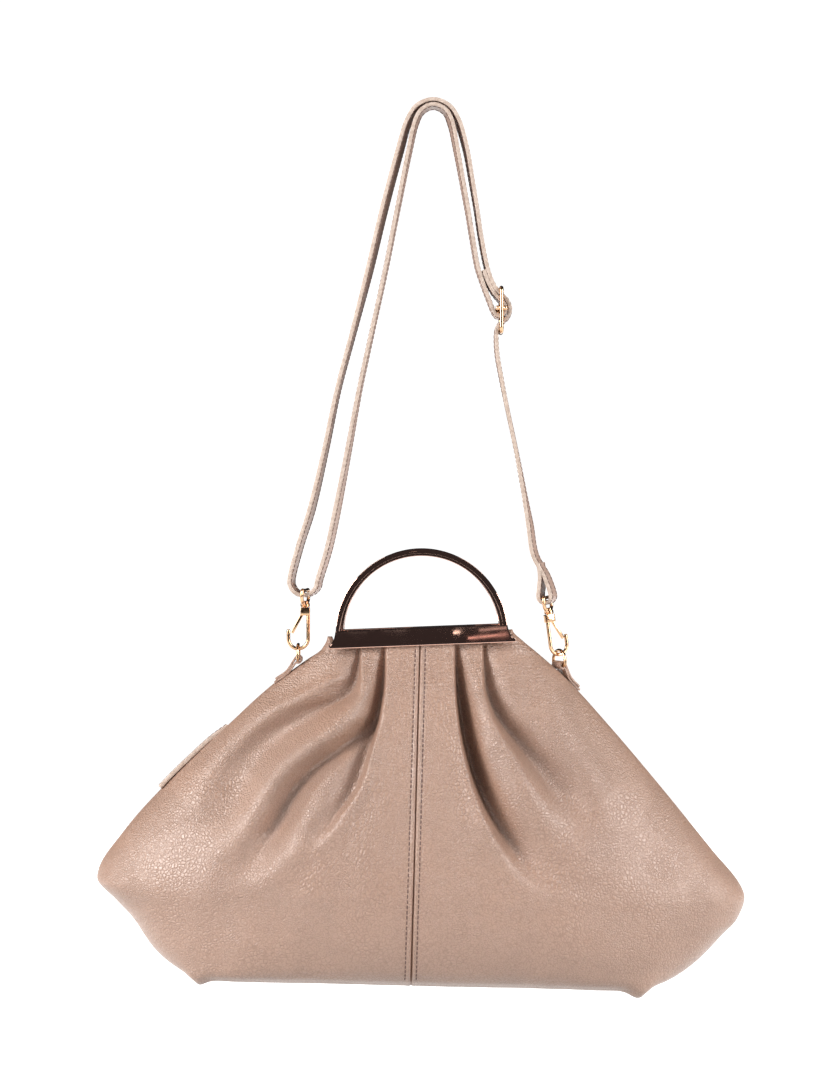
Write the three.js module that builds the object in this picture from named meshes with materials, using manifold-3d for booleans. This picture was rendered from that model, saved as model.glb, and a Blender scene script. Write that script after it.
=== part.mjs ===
// A soft pleated leather bag with two metal D handles, hung from the top of its shoulder strap.
// Millimetres, +Z up, the front faces -Y. The origin is the hang point, on the underside of the
// strap's top bend.
import * as THREE from 'three';
import { mergeVertices } from 'three/addons/utils/BufferGeometryUtils.js';
import Module from 'manifold-3d';

const wasm = await Module();
wasm.setup();

// Driving sizes
const GAP = 0.3;
const MOUTH = new THREE.Vector3(-9.5, 0, -365);
const WALL = 2.4;
const PLEAT_STEP = 1.8;
const HANDLE = {
  tilt: 2.2, apart: 18, height: 12, top: 58, foot: 63, depth: 10.6, bevel: 0.6,
  slot: 7.6, slotDeep: 9.6, innerWall: 56,
  archRadius: 58, archThick: 5.2, archDepth: 8, archCentre: 7.6, archBevel: 1.3,
};
const STRAP = { width: 15, thick: 2.6 };
const EYE = { wire: 1.2, bar: 10, half: 9.9, collar: 3.2, collarHalf: 1.3, bore: 1.8 };
const HOOK = {
  wire: 1.25, spine: 2, bow: 6.7, bowDrop: 23, noseTop: 17.5, post: 1.5, head: 2.4, headTall: 1.3,
  block: 6.4, blockDeep: 4.8, blockFoot: 7, slot: 2.8, pivotX: -1.2, pivotZ: -4.8, pin: 0.7,
};
const GATE = { knuckle: 1.6, wide: 2.2, thick: 2, bore: 0.95, tipX: -8.9, tipZ: -19 };
const RING = { wire: 1.1, half: 7.1, leg: 3, corner: 0.8 };
const TAB = { width: 10.4, thick: 1.5, loop: 2.2, lift: 3.5, long: 22 };
const SLIDER = {
  wire: 1.4, bar: 1.2, half: 9.4, corner: 3, x: 44.2, centre: -137, top: -123, bottom: -152.5,
};
const ZIP_END = { width: 16, thick: 3 };
const LEFT = { side: -1, crest: -10, hookTurn: 0, hookTilt: 0, strapTurn: 10 };
const RIGHT = { side: 1, crest: -19, hookTurn: 210, hookTilt: 7, strapTurn: 18 };

// Cross sections of the body: height below the mouth, the seam's x, tilt in degrees, half widths to the
// left and right of the seam, half depth, and how square the section is
const SECTIONS = [
  { z: 8, seam: -1.4, tilt: -2.2, left: 65, right: 65, depth: 12.3, square: 20 },
  { z: 0, seam: -1.4, tilt: -2.2, left: 66.6, right: 70, depth: 12.3, square: 18 },
  { z: -8, seam: -1.6, tilt: -2, left: 77.8, right: 79.8, depth: 15, square: 8 },
  { z: -26, seam: -2.1, tilt: -1.2, left: 101, right: 101, depth: 25, square: 3 },
  { z: -56, seam: -2.9, tilt: 0, left: 130.6, right: 131, depth: 39.5, square: 2.3 },
  { z: -94, seam: -3.9, tilt: 1.1, left: 166.7, right: 166.9, depth: 54, square: 2.2 },
  { z: -134, seam: -4.9, tilt: 1.8, left: 199, right: 203, depth: 64, square: 2.3 },
  { z: -158, seam: -5.6, tilt: 1.8, left: 214, right: 223, depth: 67.5, square: 2.4 },
  { z: -164, seam: -5.8, tilt: 1.8, left: 215, right: 225, depth: 68, square: 2.4 },
  { z: -178, seam: -6.2, tilt: 1.8, left: 202, right: 220.5, depth: 68, square: 2.6 },
  { z: -189, seam: -6.5, tilt: 1.7, left: 190.5, right: 211, depth: 67, square: 3 },
  { z: -209, seam: -7, tilt: 1.5, left: 174.5, right: 192, depth: 61, square: 4.5 },
  { z: -218, seam: -7.3, tilt: 1.4, left: 161.5, right: 178.5, depth: 54, square: 8 },
  { z: -222, seam: -7.4, tilt: 1.4, left: 151.5, right: 168, depth: 46, square: 14 },
];
const ROW_HEIGHTS = [
  8, 2, -3, -8, -15, -23, -32, -42, -54, -67, -81, -95, -110, -125, -140, -153, -161, -168, -178, -190,
  -202, -212, -218, -222,
];

// Folds below the pleats: distance of the valley from the seam, its depth, and how far it reaches
// towards the seam and away from it
const LEFT_INNER = [
  { z: 8, at: 24, deep: 0, inner: 2, outer: 10 },
  { z: -2, at: 24, deep: 1, inner: 2, outer: 12 },
  { z: -20, at: 24, deep: 8, inner: 4, outer: 13 },
  { z: -42, at: 26.2, deep: 12, inner: 7, outer: 15 },
  { z: -66, at: 32, deep: 13, inner: 10, outer: 17 },
  { z: -89, at: 39, deep: 10, inner: 14, outer: 19 },
  { z: -112, at: 54, deep: 4, inner: 18, outer: 22 },
  { z: -140, at: 71, deep: 0, inner: 20, outer: 24 },
];
const LEFT_OUTER = [
  { z: 8, at: 41, deep: 0, inner: 2, outer: 10 },
  { z: -2, at: 41, deep: 1, inner: 2, outer: 10 },
  { z: -20, at: 43, deep: 6, inner: 4, outer: 12 },
  { z: -35, at: 62, deep: 8, inner: 10, outer: 16 },
  { z: -58, at: 95, deep: 8, inner: 14, outer: 16 },
  { z: -83, at: 115, deep: 7, inner: 14, outer: 18 },
  { z: -110, at: 123, deep: 3, inner: 16, outer: 20 },
  { z: -135, at: 128, deep: 0, inner: 18, outer: 22 },
];
const LEFT_BRANCH = [
  { z: -50, at: 33, deep: 0, inner: 10, outer: 12 },
  { z: -75, at: 62, deep: 5, inner: 12, outer: 14 },
  { z: -94, at: 86, deep: 7, inner: 14, outer: 14 },
  { z: -115, at: 99, deep: 5, inner: 16, outer: 16 },
  { z: -142, at: 110, deep: 0, inner: 18, outer: 18 },
];
const RIGHT_INNER = [
  { z: 8, at: 24.5, deep: 0, inner: 2, outer: 10 },
  { z: -2, at: 24.5, deep: 1, inner: 2, outer: 12 },
  { z: -22, at: 25.5, deep: 10, inner: 4, outer: 13 },
  { z: -52, at: 29.3, deep: 15, inner: 8, outer: 15 },
  { z: -78, at: 36, deep: 15, inner: 11, outer: 17 },
  { z: -102, at: 46, deep: 12, inner: 14, outer: 19 },
  { z: -124, at: 61, deep: 7, inner: 17, outer: 21 },
  { z: -148, at: 82, deep: 0, inner: 20, outer: 24 },
];
const RIGHT_OUTER = [
  { z: 8, at: 43.5, deep: 0, inner: 2, outer: 10 },
  { z: -2, at: 43.5, deep: 1, inner: 2, outer: 10 },
  { z: -26, at: 45, deep: 7, inner: 4, outer: 13 },
  { z: -44, at: 51, deep: 9, inner: 9, outer: 17 },
  { z: -69, at: 70.5, deep: 10, inner: 13, outer: 20 },
  { z: -90, at: 89, deep: 8, inner: 15, outer: 20 },
  { z: -110, at: 104, deep: 4, inner: 16, outer: 20 },
  { z: -130, at: 110, deep: 0, inner: 18, outer: 22 },
];
const FOLDS = {
  '-1': { lines: [LEFT_INNER, LEFT_OUTER], extra: [LEFT_BRANCH] },
  1: { lines: [RIGHT_INNER, RIGHT_OUTER], extra: [] },
};
const COLUMNS = [5, 5, 6];
const PLEATS_OPEN = -45;

// The strap's hand-laid stretches, each point as x, z and the strap's turn about the vertical in degrees
const RIGHT_STRAND = [
  [67.3, -304, 16], [63.9, -283.6, 14], [60.2, -263.2, 8], [54.4, -232.6, 4], [47.9, -202, 3],
  [43.9, -181.6, 1], [41.3, -166, 0],
];
const THROUGH_SLIDER = [
  [41, -153, 0], [42, -149, 0], [45.6, -145.3, 0], [49, -141.8, 0], [50, -137, 0], [48.3, -131.8, 0],
  [44.4, -127.6, 0], [41.2, -124.2, 0], [38.6, -120, 0],
];
const OUTER_LAYER = [
  [35, -111, -2], [30.6, -89.8, -3], [27.5, -69.4, -3], [24.1, -49, -4], [20.4, -28.6, -6],
  [14.8, -9.5, -8], [8.5, 0.6, -4], [-1.8, 4.7, 0], [-12.5, 0.6, 5], [-18.8, -9.5, 10],
  [-24.5, -28.6, 12], [-35.4, -69.4, 12], [-45.2, -110.2, 11], [-55.8, -151, 6], [-66.6, -191.8, 5],
  [-75.1, -232.6, 7], [-84.7, -273.4, 11], [-92.5, -298, 10],
];
const INNER_LAYER = [
  [-73, -300, 11], [-67.3, -273.4, 11], [-59.5, -232.6, 7], [-52, -191.8, 3], [-43.2, -151, 2],
  [-34.3, -110.2, 2], [-26.2, -69.4, 3], [-18, -28.6, 5], [-13.5, -9.5, 6], [-9.3, -2, 3],
  [-1.8, 1.3, 0], [5.8, -2, -4], [9.8, -9.5, -8], [13.9, -28.6, -6], [17.7, -49, -4],
  [21.4, -69.4, -3], [24.8, -89.8, -3], [28, -108, -2], [30.8, -117, -1], [33.6, -125, 0], [36.3, -132, 0],
];
// The strap's end, round the slider's middle bar and back up to where it is sewn down
const SEWN_BACK_END = [
  [38.7, -138, 0], [40.8, -141.3, 0], [43.6, -142.1, 0], [46.2, -140.2, 0], [47.05, -137, 0],
  [45.4, -133, 0], [41.3, -128.8, 0], [37.7, -123.9, 0], [34.5, -117.5, -1], [32, -111, -2],
];
const LEFT_BEND = 9.4;
const RIGHT_BEND = 4.2;
const STRAP_TAIL = 24;

// The zip end's line on the left shoulder: section height, lift off the crest, and distance to the back
const ZIP_LINE = [
  { z: -101, lift: 2.2, back: 0 },
  { z: -90, lift: 2.3, back: 1 },
  { z: -78, lift: 2.3, back: 3 },
  { z: -66, lift: 2.4, back: 6 },
  { z: -56, lift: 2.2, back: 9 },
];

const leather = new THREE.MeshStandardMaterial({ color: 0xbb9b87, roughness: 0.62, metalness: 0 });
const strapLeather = new THREE.MeshStandardMaterial({ color: 0xb08a76, roughness: 0.6, metalness: 0 });
const roseMetal = new THREE.MeshStandardMaterial({ color: 0xd9a793, roughness: 0.1, metalness: 1 });
const goldMetal = new THREE.MeshStandardMaterial({ color: 0xe0bd86, roughness: 0.2, metalness: 1 });

const vec = (x, y, z) => new THREE.Vector3(x, y, z);
const radians = THREE.MathUtils.degToRad;

// Tables

function slope(rows, key, i) {
  if (i === 0 || i === rows.length - 1) return 0;
  const before = (rows[i][key] - rows[i - 1][key]) / (rows[i].z - rows[i - 1].z);
  const after = (rows[i + 1][key] - rows[i][key]) / (rows[i + 1].z - rows[i].z);
  return before * after <= 0 ? 0 : (2 * before * after) / (before + after);
}

// One column of a table at height z, on a smooth curve that never overshoots the rows
function read(rows, key, z) {
  const last = rows[rows.length - 1];
  if (z >= rows[0].z) return rows[0][key];
  if (z <= last.z) return last[key];
  const i = rows.findIndex((row) => row.z <= z) - 1;
  const span = rows[i + 1].z - rows[i].z;
  const t = (z - rows[i].z) / span;
  const rise = t * t * (3 - 2 * t);
  const bend = slope(rows, key, i) * t * (1 - t) ** 2 - slope(rows, key, i + 1) * t * t * (1 - t);
  return rows[i][key] + (rows[i + 1][key] - rows[i][key]) * rise + span * bend;
}

// Meshes

function closedGeometry(points, faces) {
  const volume = faces.reduce((sum, [a, b, c]) => {
    return sum + points[a].dot(vec(0, 0, 0).crossVectors(points[b], points[c]));
  }, 0);
  const outward = volume < 0 ? faces.map(([a, b, c]) => [a, c, b]) : faces;
  const geometry = new THREE.BufferGeometry().setFromPoints(points);
  geometry.setIndex(outward.flat());
  return geometry;
}

// Skin through rings of equal point count, closed on itself or capped at both ends
function loft(rings, closed) {
  const count = rings[0].length;
  const faces = [];
  const strips = closed ? rings.length : rings.length - 1;
  for (let i = 0; i < strips; i++) {
    const here = i * count;
    const next = ((i + 1) % rings.length) * count;
    for (let j = 0; j < count; j++) {
      const k = (j + 1) % count;
      faces.push([here + j, next + j, next + k], [here + j, next + k, here + k]);
    }
  }
  for (let j = 1; j < count - 1 && !closed; j++) {
    const end = (rings.length - 1) * count;
    faces.push([0, j, j + 1], [end, end + j + 1, end + j]);
  }
  return closedGeometry(rings.flat(), faces);
}

// Round wire along a flat path whose plane has the given normal
function wire(path, radius, normal, closed, sides = 8) {
  const rings = path.map((point, i) => {
    const before = path[closed ? (i + path.length - 1) % path.length : Math.max(0, i - 1)];
    const after = path[closed ? (i + 1) % path.length : Math.min(path.length - 1, i + 1)];
    const side = vec(0, 0, 0).subVectors(after, before).normalize().cross(normal);
    return Array.from({ length: sides }, (_, k) => {
      const angle = ((k + 0.5) * 2 * Math.PI) / sides;
      const out = normal.clone().multiplyScalar(radius * Math.cos(angle));
      return out.addScaledVector(side, radius * Math.sin(angle)).add(point);
    });
  });
  return loft(rings, closed);
}

// Flat band along a smooth route; each route point has a place and the turn of the band's width
function ribbon(route, width, thick, stepsEach) {
  const curve = new THREE.CatmullRomCurve3(route.map((row) => row.place), false, 'centripetal');
  const steps = (route.length - 1) * stepsEach;
  const rings = [];
  for (let i = 0; i <= steps; i++) {
    const index = Math.min(route.length - 2, Math.floor(i / stepsEach));
    const part = i / stepsEach - index;
    const turn = radians(THREE.MathUtils.lerp(route[index].turn, route[index + 1].turn, part));
    const along = curve.getTangent(i / steps);
    const across = vec(Math.sin(turn), Math.cos(turn), 0);
    across.addScaledVector(along, -across.dot(along)).normalize();
    const up = vec(0, 0, 0).crossVectors(along, across);
    const corners = [[-1, -1], [1, -1], [1, 1], [-1, 1]];
    rings.push(corners.map(([w, t]) => {
      const place = curve.getPoint(i / steps).addScaledVector(across, (w * width) / 2);
      return place.addScaledVector(up, (t * thick) / 2);
    }));
  }
  return loft(rings, false);
}

function toSolid(geometry) {
  const plain = geometry.clone();
  plain.deleteAttribute('normal');
  plain.deleteAttribute('uv');
  const merged = mergeVertices(plain, 1e-4);
  const vertProperties = new Float32Array(merged.attributes.position.array);
  const triVerts = new Uint32Array(merged.index.array);
  return new wasm.Manifold(new wasm.Mesh({ numProp: 3, vertProperties, triVerts }));
}

function fromSolid(solid) {
  const mesh = solid.getMesh();
  const geometry = new THREE.BufferGeometry();
  geometry.setAttribute('position', new THREE.BufferAttribute(new Float32Array(mesh.vertProperties), 3));
  geometry.setIndex(Array.from(mesh.triVerts));
  return geometry;
}

function join(geometries, cuts = []) {
  const whole = geometries.map(toSolid).reduce((sum, solid) => sum.add(solid));
  return fromSolid(cuts.map(toSolid).reduce((rest, solid) => rest.subtract(solid), whole));
}

function boxBetween(low, high) {
  const box = new THREE.BoxGeometry(high.x - low.x, high.y - low.y, high.z - low.z);
  return box.translate((low.x + high.x) / 2, (low.y + high.y) / 2, (low.z + high.z) / 2);
}

function uprightCylinder(radius, low, high, sides = 14) {
  const cylinder = new THREE.CylinderGeometry(radius, radius, high - low, sides);
  return cylinder.rotateX(Math.PI / 2).translate(0, 0, (low + high) / 2);
}

function crossCylinder(radius, length, x, z, sides = 12) {
  return new THREE.CylinderGeometry(radius, radius, length, sides).translate(x, 0, z);
}

function piece(name, geometry, material) {
  const mesh = new THREE.Mesh(geometry, material);
  mesh.name = name;
  return mesh;
}

// Leather body

function valley(rows, z, out) {
  const reach = out < read(rows, 'at', z) ? read(rows, 'inner', z) : read(rows, 'outer', z);
  return read(rows, 'deep', z) * Math.exp(-(((out - read(rows, 'at', z)) / reach) ** 2));
}

// How far a point is pushed in: the valleys, and the stacked layers of the pleats near the mouth
function foldDepth(z, side, out) {
  const { lines, extra } = FOLDS[side];
  const layers = lines.filter((rows) => out > read(rows, 'at', z) - GAP).length;
  const stacked = THREE.MathUtils.smoothstep(z, PLEATS_OPEN, 0) * PLEAT_STEP * layers;
  return [...lines, ...extra].reduce((sum, rows) => sum + valley(rows, z, out), stacked);
}

// A point of the body: side -1 left or 1 right, out is the distance from the seam, face -1 front or 1 back,
// and inset is how far inside the outer skin it lies
function bodyPoint(z, side, out, face, inset) {
  const half = read(SECTIONS, side < 0 ? 'left' : 'right', z);
  const share = Math.min(1, out / half);
  const fullness = Math.sqrt(1 - share ** read(SECTIONS, 'square', z));
  const folds = foldDepth(z, side, out) * Math.min(1, fullness * 1.6);
  const depth = (read(SECTIONS, 'depth', z) - inset) * fullness - folds;
  const along = side * out * ((half - inset) / half);
  const tilt = radians(read(SECTIONS, 'tilt', z));
  const x = read(SECTIONS, 'seam', z) + along * Math.cos(tilt);
  const lift = inset * THREE.MathUtils.smoothstep(-z, 200, 222);
  return vec(x, face * depth, z - along * Math.sin(tilt) + lift).add(MOUTH);
}

// Distances from the seam of one row's points: they follow the fold lines and crowd towards the side
function rowDistances(z, side) {
  const half = read(SECTIONS, side < 0 ? 'left' : 'right', z);
  const stops = [GAP / 2, ...FOLDS[side].lines.map((rows) => read(rows, 'at', z)), half];
  const distances = [stops[0]];
  COLUMNS.forEach((count, i) => {
    for (let k = 1; k <= count; k++) {
      const t = k / count;
      const eased = i === COLUMNS.length - 1 ? 1 - (1 - t) ** 2 : t;
      distances.push(THREE.MathUtils.lerp(stops[i], stops[i + 1], eased));
    }
  });
  return distances;
}

// Half shell of the bag: the wall from the front seam round the side to the back seam, and half the base
function panel(side) {
  const reach = COLUMNS.reduce((sum, count) => sum + count, 0);
  const width = 2 * reach + 1;
  const skin = (inset) => ROW_HEIGHTS.flatMap((z) => {
    const distances = rowDistances(z, side);
    const front = distances.map((out) => bodyPoint(z, side, out, -1, inset));
    const back = distances.slice(0, -1).reverse().map((out) => bodyPoint(z, side, out, 1, inset));
    return [...front, ...back];
  });
  const faces = [];
  for (let row = 0; row < ROW_HEIGHTS.length - 1; row++) {
    for (let c = 0; c < width - 1; c++) {
      const a = row * width + c;
      faces.push([a, a + width, a + width + 1], [a, a + width + 1, a + 1]);
    }
  }
  const base = (ROW_HEIGHTS.length - 1) * width;
  for (let c = 0; c < reach; c++) {
    const far = base + width - 1 - c;
    faces.push([base + c, far, far - 1]);
    if (c < reach - 1) faces.push([base + c, far - 1, base + c + 1]);
  }
  return thicken(skin(0), skin(WALL), faces);
}

// Closed solid between an outer and an inner skin with the same faces
function thicken(outer, inner, faces) {
  const shift = outer.length;
  const edges = new Set(faces.flatMap(([a, b, c]) => [`${a},${b}`, `${b},${c}`, `${c},${a}`]));
  const all = [...faces, ...faces.map(([a, b, c]) => [a + shift, c + shift, b + shift])];
  for (const edge of edges) {
    const [a, b] = edge.split(',').map(Number);
    if (!edges.has(`${b},${a}`)) all.push([b, a, a + shift], [b, a + shift, b + shift]);
  }
  return closedGeometry([...outer, ...inner], all);
}

// The shoulder's crest at a section, with its direction down the shoulder and its outward normal
function crest(z, side) {
  const key = side < 0 ? 'left' : 'right';
  const at = (height) => bodyPoint(height, side, read(SECTIONS, key, height), -1, 0);
  const place = at(z);
  const down = at(z - 1).sub(at(z + 1)).normalize();
  const normal = vec(-side * down.z, 0, side * down.x);
  return { place, down, normal };
}

// Metal handle: arch and clamp bar with the slot that grips the leather

function handle() {
  const { archBevel, archCentre, archRadius, archThick, archDepth } = HANDLE;
  const arch = new THREE.Shape();
  arch.absarc(0, archCentre, archRadius, 0, Math.PI, false);
  arch.absarc(0, archCentre, archRadius - archThick, Math.PI, 0, true);
  const bow = extrudeAcross(arch, archDepth, archBevel, 18);
  const bar = new THREE.Shape();
  bar.moveTo(-HANDLE.foot, 0);
  bar.lineTo(HANDLE.foot, 0);
  bar.lineTo(HANDLE.foot, 2);
  bar.quadraticCurveTo(HANDLE.top + 1, 4, HANDLE.top, HANDLE.height);
  bar.lineTo(-HANDLE.top, HANDLE.height);
  bar.quadraticCurveTo(-HANDLE.top - 1, 4, -HANDLE.foot, 2);
  const beam = extrudeAcross(bar, HANDLE.depth, HANDLE.bevel, 4);
  const half = HANDLE.slot / 2;
  const long = 2 * HANDLE.foot;
  const slot = boxBetween(vec(-long, -half, -5), vec(long, half, HANDLE.slotDeep));
  const mouthEnds = [-1, 1].map((end) => {
    const from = Math.min(end * long, end * HANDLE.innerWall);
    const to = Math.max(end * long, end * HANDLE.innerWall);
    return boxBetween(vec(from, 0, -5), vec(to, HANDLE.depth, HANDLE.slotDeep));
  });
  return join([bow, beam], [slot, ...mouthEnds]);
}

// Outline in x and z, extruded through its depth in y with rounded edges
function extrudeAcross(shape, depth, bevel, curveSegments) {
  const geometry = new THREE.ExtrudeGeometry(shape, {
    depth: depth - 2 * bevel, bevelThickness: bevel, bevelSize: bevel, bevelOffset: -bevel,
    bevelSegments: 1, curveSegments,
  });
  return geometry.rotateX(Math.PI / 2).translate(0, depth / 2 - bevel, 0);
}

function placedHandle(name, face) {
  const mesh = piece(name, handle(), roseMetal);
  mesh.position.set(MOUTH.x, (face * HANDLE.apart) / 2, MOUTH.z);
  mesh.rotation.set(0, -radians(HANDLE.tilt), face < 0 ? 0 : Math.PI, 'YXZ');
  return mesh;
}

// Snap hook, swivel eye, gate and ring; the hook's own frame has its swivel axis on Z

function arcPoints(radius, from, to, count, place) {
  return Array.from({ length: count + 1 }, (_, i) => {
    const angle = radians(THREE.MathUtils.lerp(from, to, i / count));
    return place(radius * Math.cos(angle), radius * Math.sin(angle));
  });
}

function hookEye() {
  const { half, bar } = EYE;
  const outline = [[2.6, 0], [5.4, 0.9], [half - 1, 3], [half, 6.2], [half - 0.9, bar]];
  const rightSide = outline.map(([y, z]) => vec(0, y, z));
  const leftSide = rightSide.map((point) => vec(0, -point.y, point.z)).reverse();
  const ring = wire([...rightSide, ...leftSide], EYE.wire, vec(1, 0, 0), true);
  const collar = uprightCylinder(EYE.collar, -EYE.collarHalf, EYE.collarHalf);
  return join([ring, collar], [uprightCylinder(EYE.bore, -5, EYE.collarHalf + GAP)]);
}

function hookBody() {
  const { spine, bow, bowDrop, block, blockDeep, blockFoot, slot } = HOOK;
  const top = -EYE.collarHalf - GAP;
  const bend = arcPoints(bow, 0, -180, 10, (x, z) => vec(spine - bow + x, 0, z - bowDrop));
  const bent = [vec(spine, 0, top - 2), ...bend, vec(spine - 2 * bow, 0, -HOOK.noseTop)];
  const body = wire(bent, HOOK.wire, vec(0, 1, 0), false);
  const blockLow = vec(-block / 2, -blockDeep / 2, -blockFoot);
  const cheeks = boxBetween(blockLow, vec(block / 2, blockDeep / 2, top));
  const opening = boxBetween(vec(-block, -slot / 2, -2 * blockFoot), vec(0.7, slot / 2, top - 1));
  const fork = fromSolid(toSolid(cheeks).subtract(toSolid(opening)));
  const post = uprightCylinder(HOOK.post, top - 0.5, EYE.collarHalf + GAP + 0.5);
  const head = uprightCylinder(HOOK.head, EYE.collarHalf + GAP, EYE.collarHalf + GAP + HOOK.headTall);
  const pin = crossCylinder(HOOK.pin, slot + 1, HOOK.pivotX, HOOK.pivotZ);
  return join([body, fork, post, head, pin]);
}

function hookGate() {
  const pivot = vec(HOOK.pivotX, 0, HOOK.pivotZ);
  const tip = vec(GATE.tipX, 0, GATE.tipZ);
  const length = pivot.distanceTo(tip);
  const lean = Math.atan2(pivot.x - tip.x, pivot.z - tip.z);
  const far = vec(GATE.thick / 2, GATE.wide / 2, 0);
  const bar = boxBetween(vec(-far.x, -far.y, -length), far);
  bar.rotateY(lean).translate(pivot.x, 0, pivot.z);
  const knuckle = crossCylinder(GATE.knuckle, GATE.wide, pivot.x, pivot.z, 14);
  const bore = crossCylinder(GATE.bore, 3 * GATE.wide, pivot.x, pivot.z, 14);
  return join([bar, knuckle], [bore]);
}

function dRing() {
  const { half, leg, corner } = RING;
  const arc = arcPoints(half, 0, 180, 10, (y, z) => vec(0, y, leg + z));
  const foot = [[-half, corner], [corner - half, 0], [half - corner, 0], [half, corner]];
  return wire([...arc, ...foot.map(([y, z]) => vec(0, y, z))], RING.wire, vec(1, 0, 0), true);
}

// Ring bar, ring top and swivel collar of one side, worked up from the shoulder
function fittingPlaces(fit) {
  const { place, normal } = crest(fit.crest, fit.side);
  const ringBar = place.clone().addScaledVector(normal, TAB.lift);
  const bowInside = HOOK.bowDrop + HOOK.bow - HOOK.wire - RING.wire - 2 * GAP;
  const tilt = new THREE.Euler(0, -radians(fit.hookTilt), radians(fit.hookTurn), 'YXZ');
  const bow = vec(HOOK.spine - HOOK.bow, 0, -bowInside).applyEuler(tilt);
  ringBar.y = bow.y;
  const ringTop = ringBar.clone().add(vec(0, 0, RING.leg + RING.half));
  const collar = ringTop.clone().sub(bow);
  const lean = new THREE.Euler(0, -radians(fit.hookTilt), 0);
  const eyeBar = vec(0, 0, EYE.bar).applyEuler(lean).add(collar);
  return { ringBar, collar, tilt, eyeBar };
}

// Folded tab: two plies lying on the shoulder and a loop round the ring's bar
function ringTab(fit) {
  const { place, down, normal } = crest(fit.crest, fit.side);
  const { ringBar } = fittingPlaces(fit);
  const turn = fit.hookTurn > 90 ? 180 - fit.hookTurn : fit.hookTurn;
  const out = vec(fit.side * Math.cos(radians(turn)), -fit.side * Math.sin(radians(turn)), 0);
  const lie = out.clone().multiplyScalar(Math.abs(down.x)).add(vec(0, 0, down.z));
  const sewn = place.clone().setY(ringBar.y);
  const onShoulder = (along, lift) => {
    return sewn.clone().addScaledVector(lie, along).addScaledVector(normal, lift);
  };
  const lower = GAP + TAB.thick / 2;
  const upper = lower + TAB.thick + GAP;
  const loop = arcPoints(TAB.loop, -60, -290, 7, (x, z) => {
    return vec(0, 0, z).addScaledVector(out, x).add(ringBar);
  });
  const route = [
    { place: onShoulder(TAB.long, lower), turn },
    { place: onShoulder(TAB.long / 2, lower), turn },
    ...loop.map((point) => ({ place: point, turn })),
    { place: onShoulder(TAB.long / 2, upper), turn },
    { place: onShoulder(TAB.long - 2, upper), turn },
  ];
  return ribbon(route, TAB.width, TAB.thick, 2);
}

function fitting(name, fit) {
  const group = new THREE.Group();
  const { ringBar, collar, tilt } = fittingPlaces(fit);
  const ring = piece(`${name}_d_ring`, dRing(), goldMetal);
  ring.position.copy(ringBar);
  ring.rotation.z = radians(fit.hookTurn);
  const eye = piece(`${name}_hook_eye`, hookEye(), goldMetal);
  eye.position.copy(collar);
  eye.rotation.set(0, -radians(fit.hookTilt), -radians(fit.strapTurn), 'YXZ');
  const swivel = new THREE.Group();
  swivel.position.copy(collar);
  swivel.rotation.copy(tilt);
  swivel.add(piece(`${name}_hook`, hookBody(), goldMetal));
  swivel.add(piece(`${name}_hook_gate`, hookGate(), goldMetal));
  group.add(piece(`${name}_ring_tab`, ringTab(fit), leather), ring, eye, swivel);
  return group;
}

// Shoulder strap and slider

const routePoint = ([x, z, turn]) => ({ place: vec(x, 0, z), turn });

// Bend of the strap under an eye's bar, from one side of the bar to the other
function eyeBend(fit, bend, from, to, count) {
  const { eyeBar } = fittingPlaces(fit);
  const rest = EYE.wire + 2 * GAP + STRAP.thick / 2;
  const lean = radians(fit.hookTilt);
  const place = (u, v) => vec(eyeBar.x + u * Math.cos(lean) - v * Math.sin(lean), 0,
    eyeBar.z + u * Math.sin(lean) + v * Math.cos(lean));
  const bottom = arcPoints(bend, from, to, count, (u, v) => place(u, v + bend - rest));
  return { bottom: bottom.map((point) => ({ place: point, turn: fit.strapTurn })), place };
}

function strapRoute() {
  const ply = (STRAP.thick + GAP) / 2;
  const right = eyeBend(RIGHT, RIGHT_BEND, 180, 360, 8);
  const beside = (u, v) => ({ place: right.place(u, v), turn: RIGHT.strapTurn });
  const left = eyeBend(LEFT, LEFT_BEND, 180, 360, 8);
  return [
    beside(-ply, STRAP_TAIL), beside(-ply, STRAP_TAIL * 0.6),
    ...right.bottom,
    beside(ply, STRAP_TAIL * 0.6),
    ...[...RIGHT_STRAND, ...THROUGH_SLIDER, ...OUTER_LAYER].map(routePoint),
    ...left.bottom,
    ...[...INNER_LAYER, ...SEWN_BACK_END].map(routePoint),
  ];
}

function strapSlider() {
  const { half, corner, top, bottom, x } = SLIDER;
  const corners = [[half, top], [-half, top], [-half, bottom], [half, bottom]];
  const path = corners.flatMap(([y, z], i) => {
    const centreY = y - Math.sign(y) * corner;
    const centreZ = z === top ? z - corner : z + corner;
    return arcPoints(corner, i * 90, i * 90 + 90, 3, (u, v) => vec(x, centreY + u, centreZ + v));
  });
  const frame = wire(path, SLIDER.wire, vec(1, 0, 0), true);
  return join([frame, crossCylinder(SLIDER.bar, 2 * half, x, SLIDER.centre, 10)]);
}

// Covered zip end lying along the left shoulder

function zipEnd() {
  const route = ZIP_LINE.map((row) => {
    const { place, normal } = crest(row.z, LEFT.side);
    return { place: place.addScaledVector(normal, row.lift).add(vec(0, row.back, 0)), turn: 0 };
  });
  return ribbon(route, ZIP_END.width, ZIP_END.thick, 2);
}

const handbag = new THREE.Group();
handbag.add(
  piece('left_panel', panel(-1), leather),
  piece('right_panel', panel(1), leather),
  placedHandle('front_handle', -1),
  placedHandle('back_handle', 1),
  fitting('left', LEFT),
  fitting('right', RIGHT),
  piece('shoulder_strap', ribbon(strapRoute(), STRAP.width, STRAP.thick, 2), strapLeather),
  piece('strap_slider', strapSlider(), goldMetal),
  piece('zip_end_tab', zipEnd(), leather),
);

export default handbag;
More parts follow.
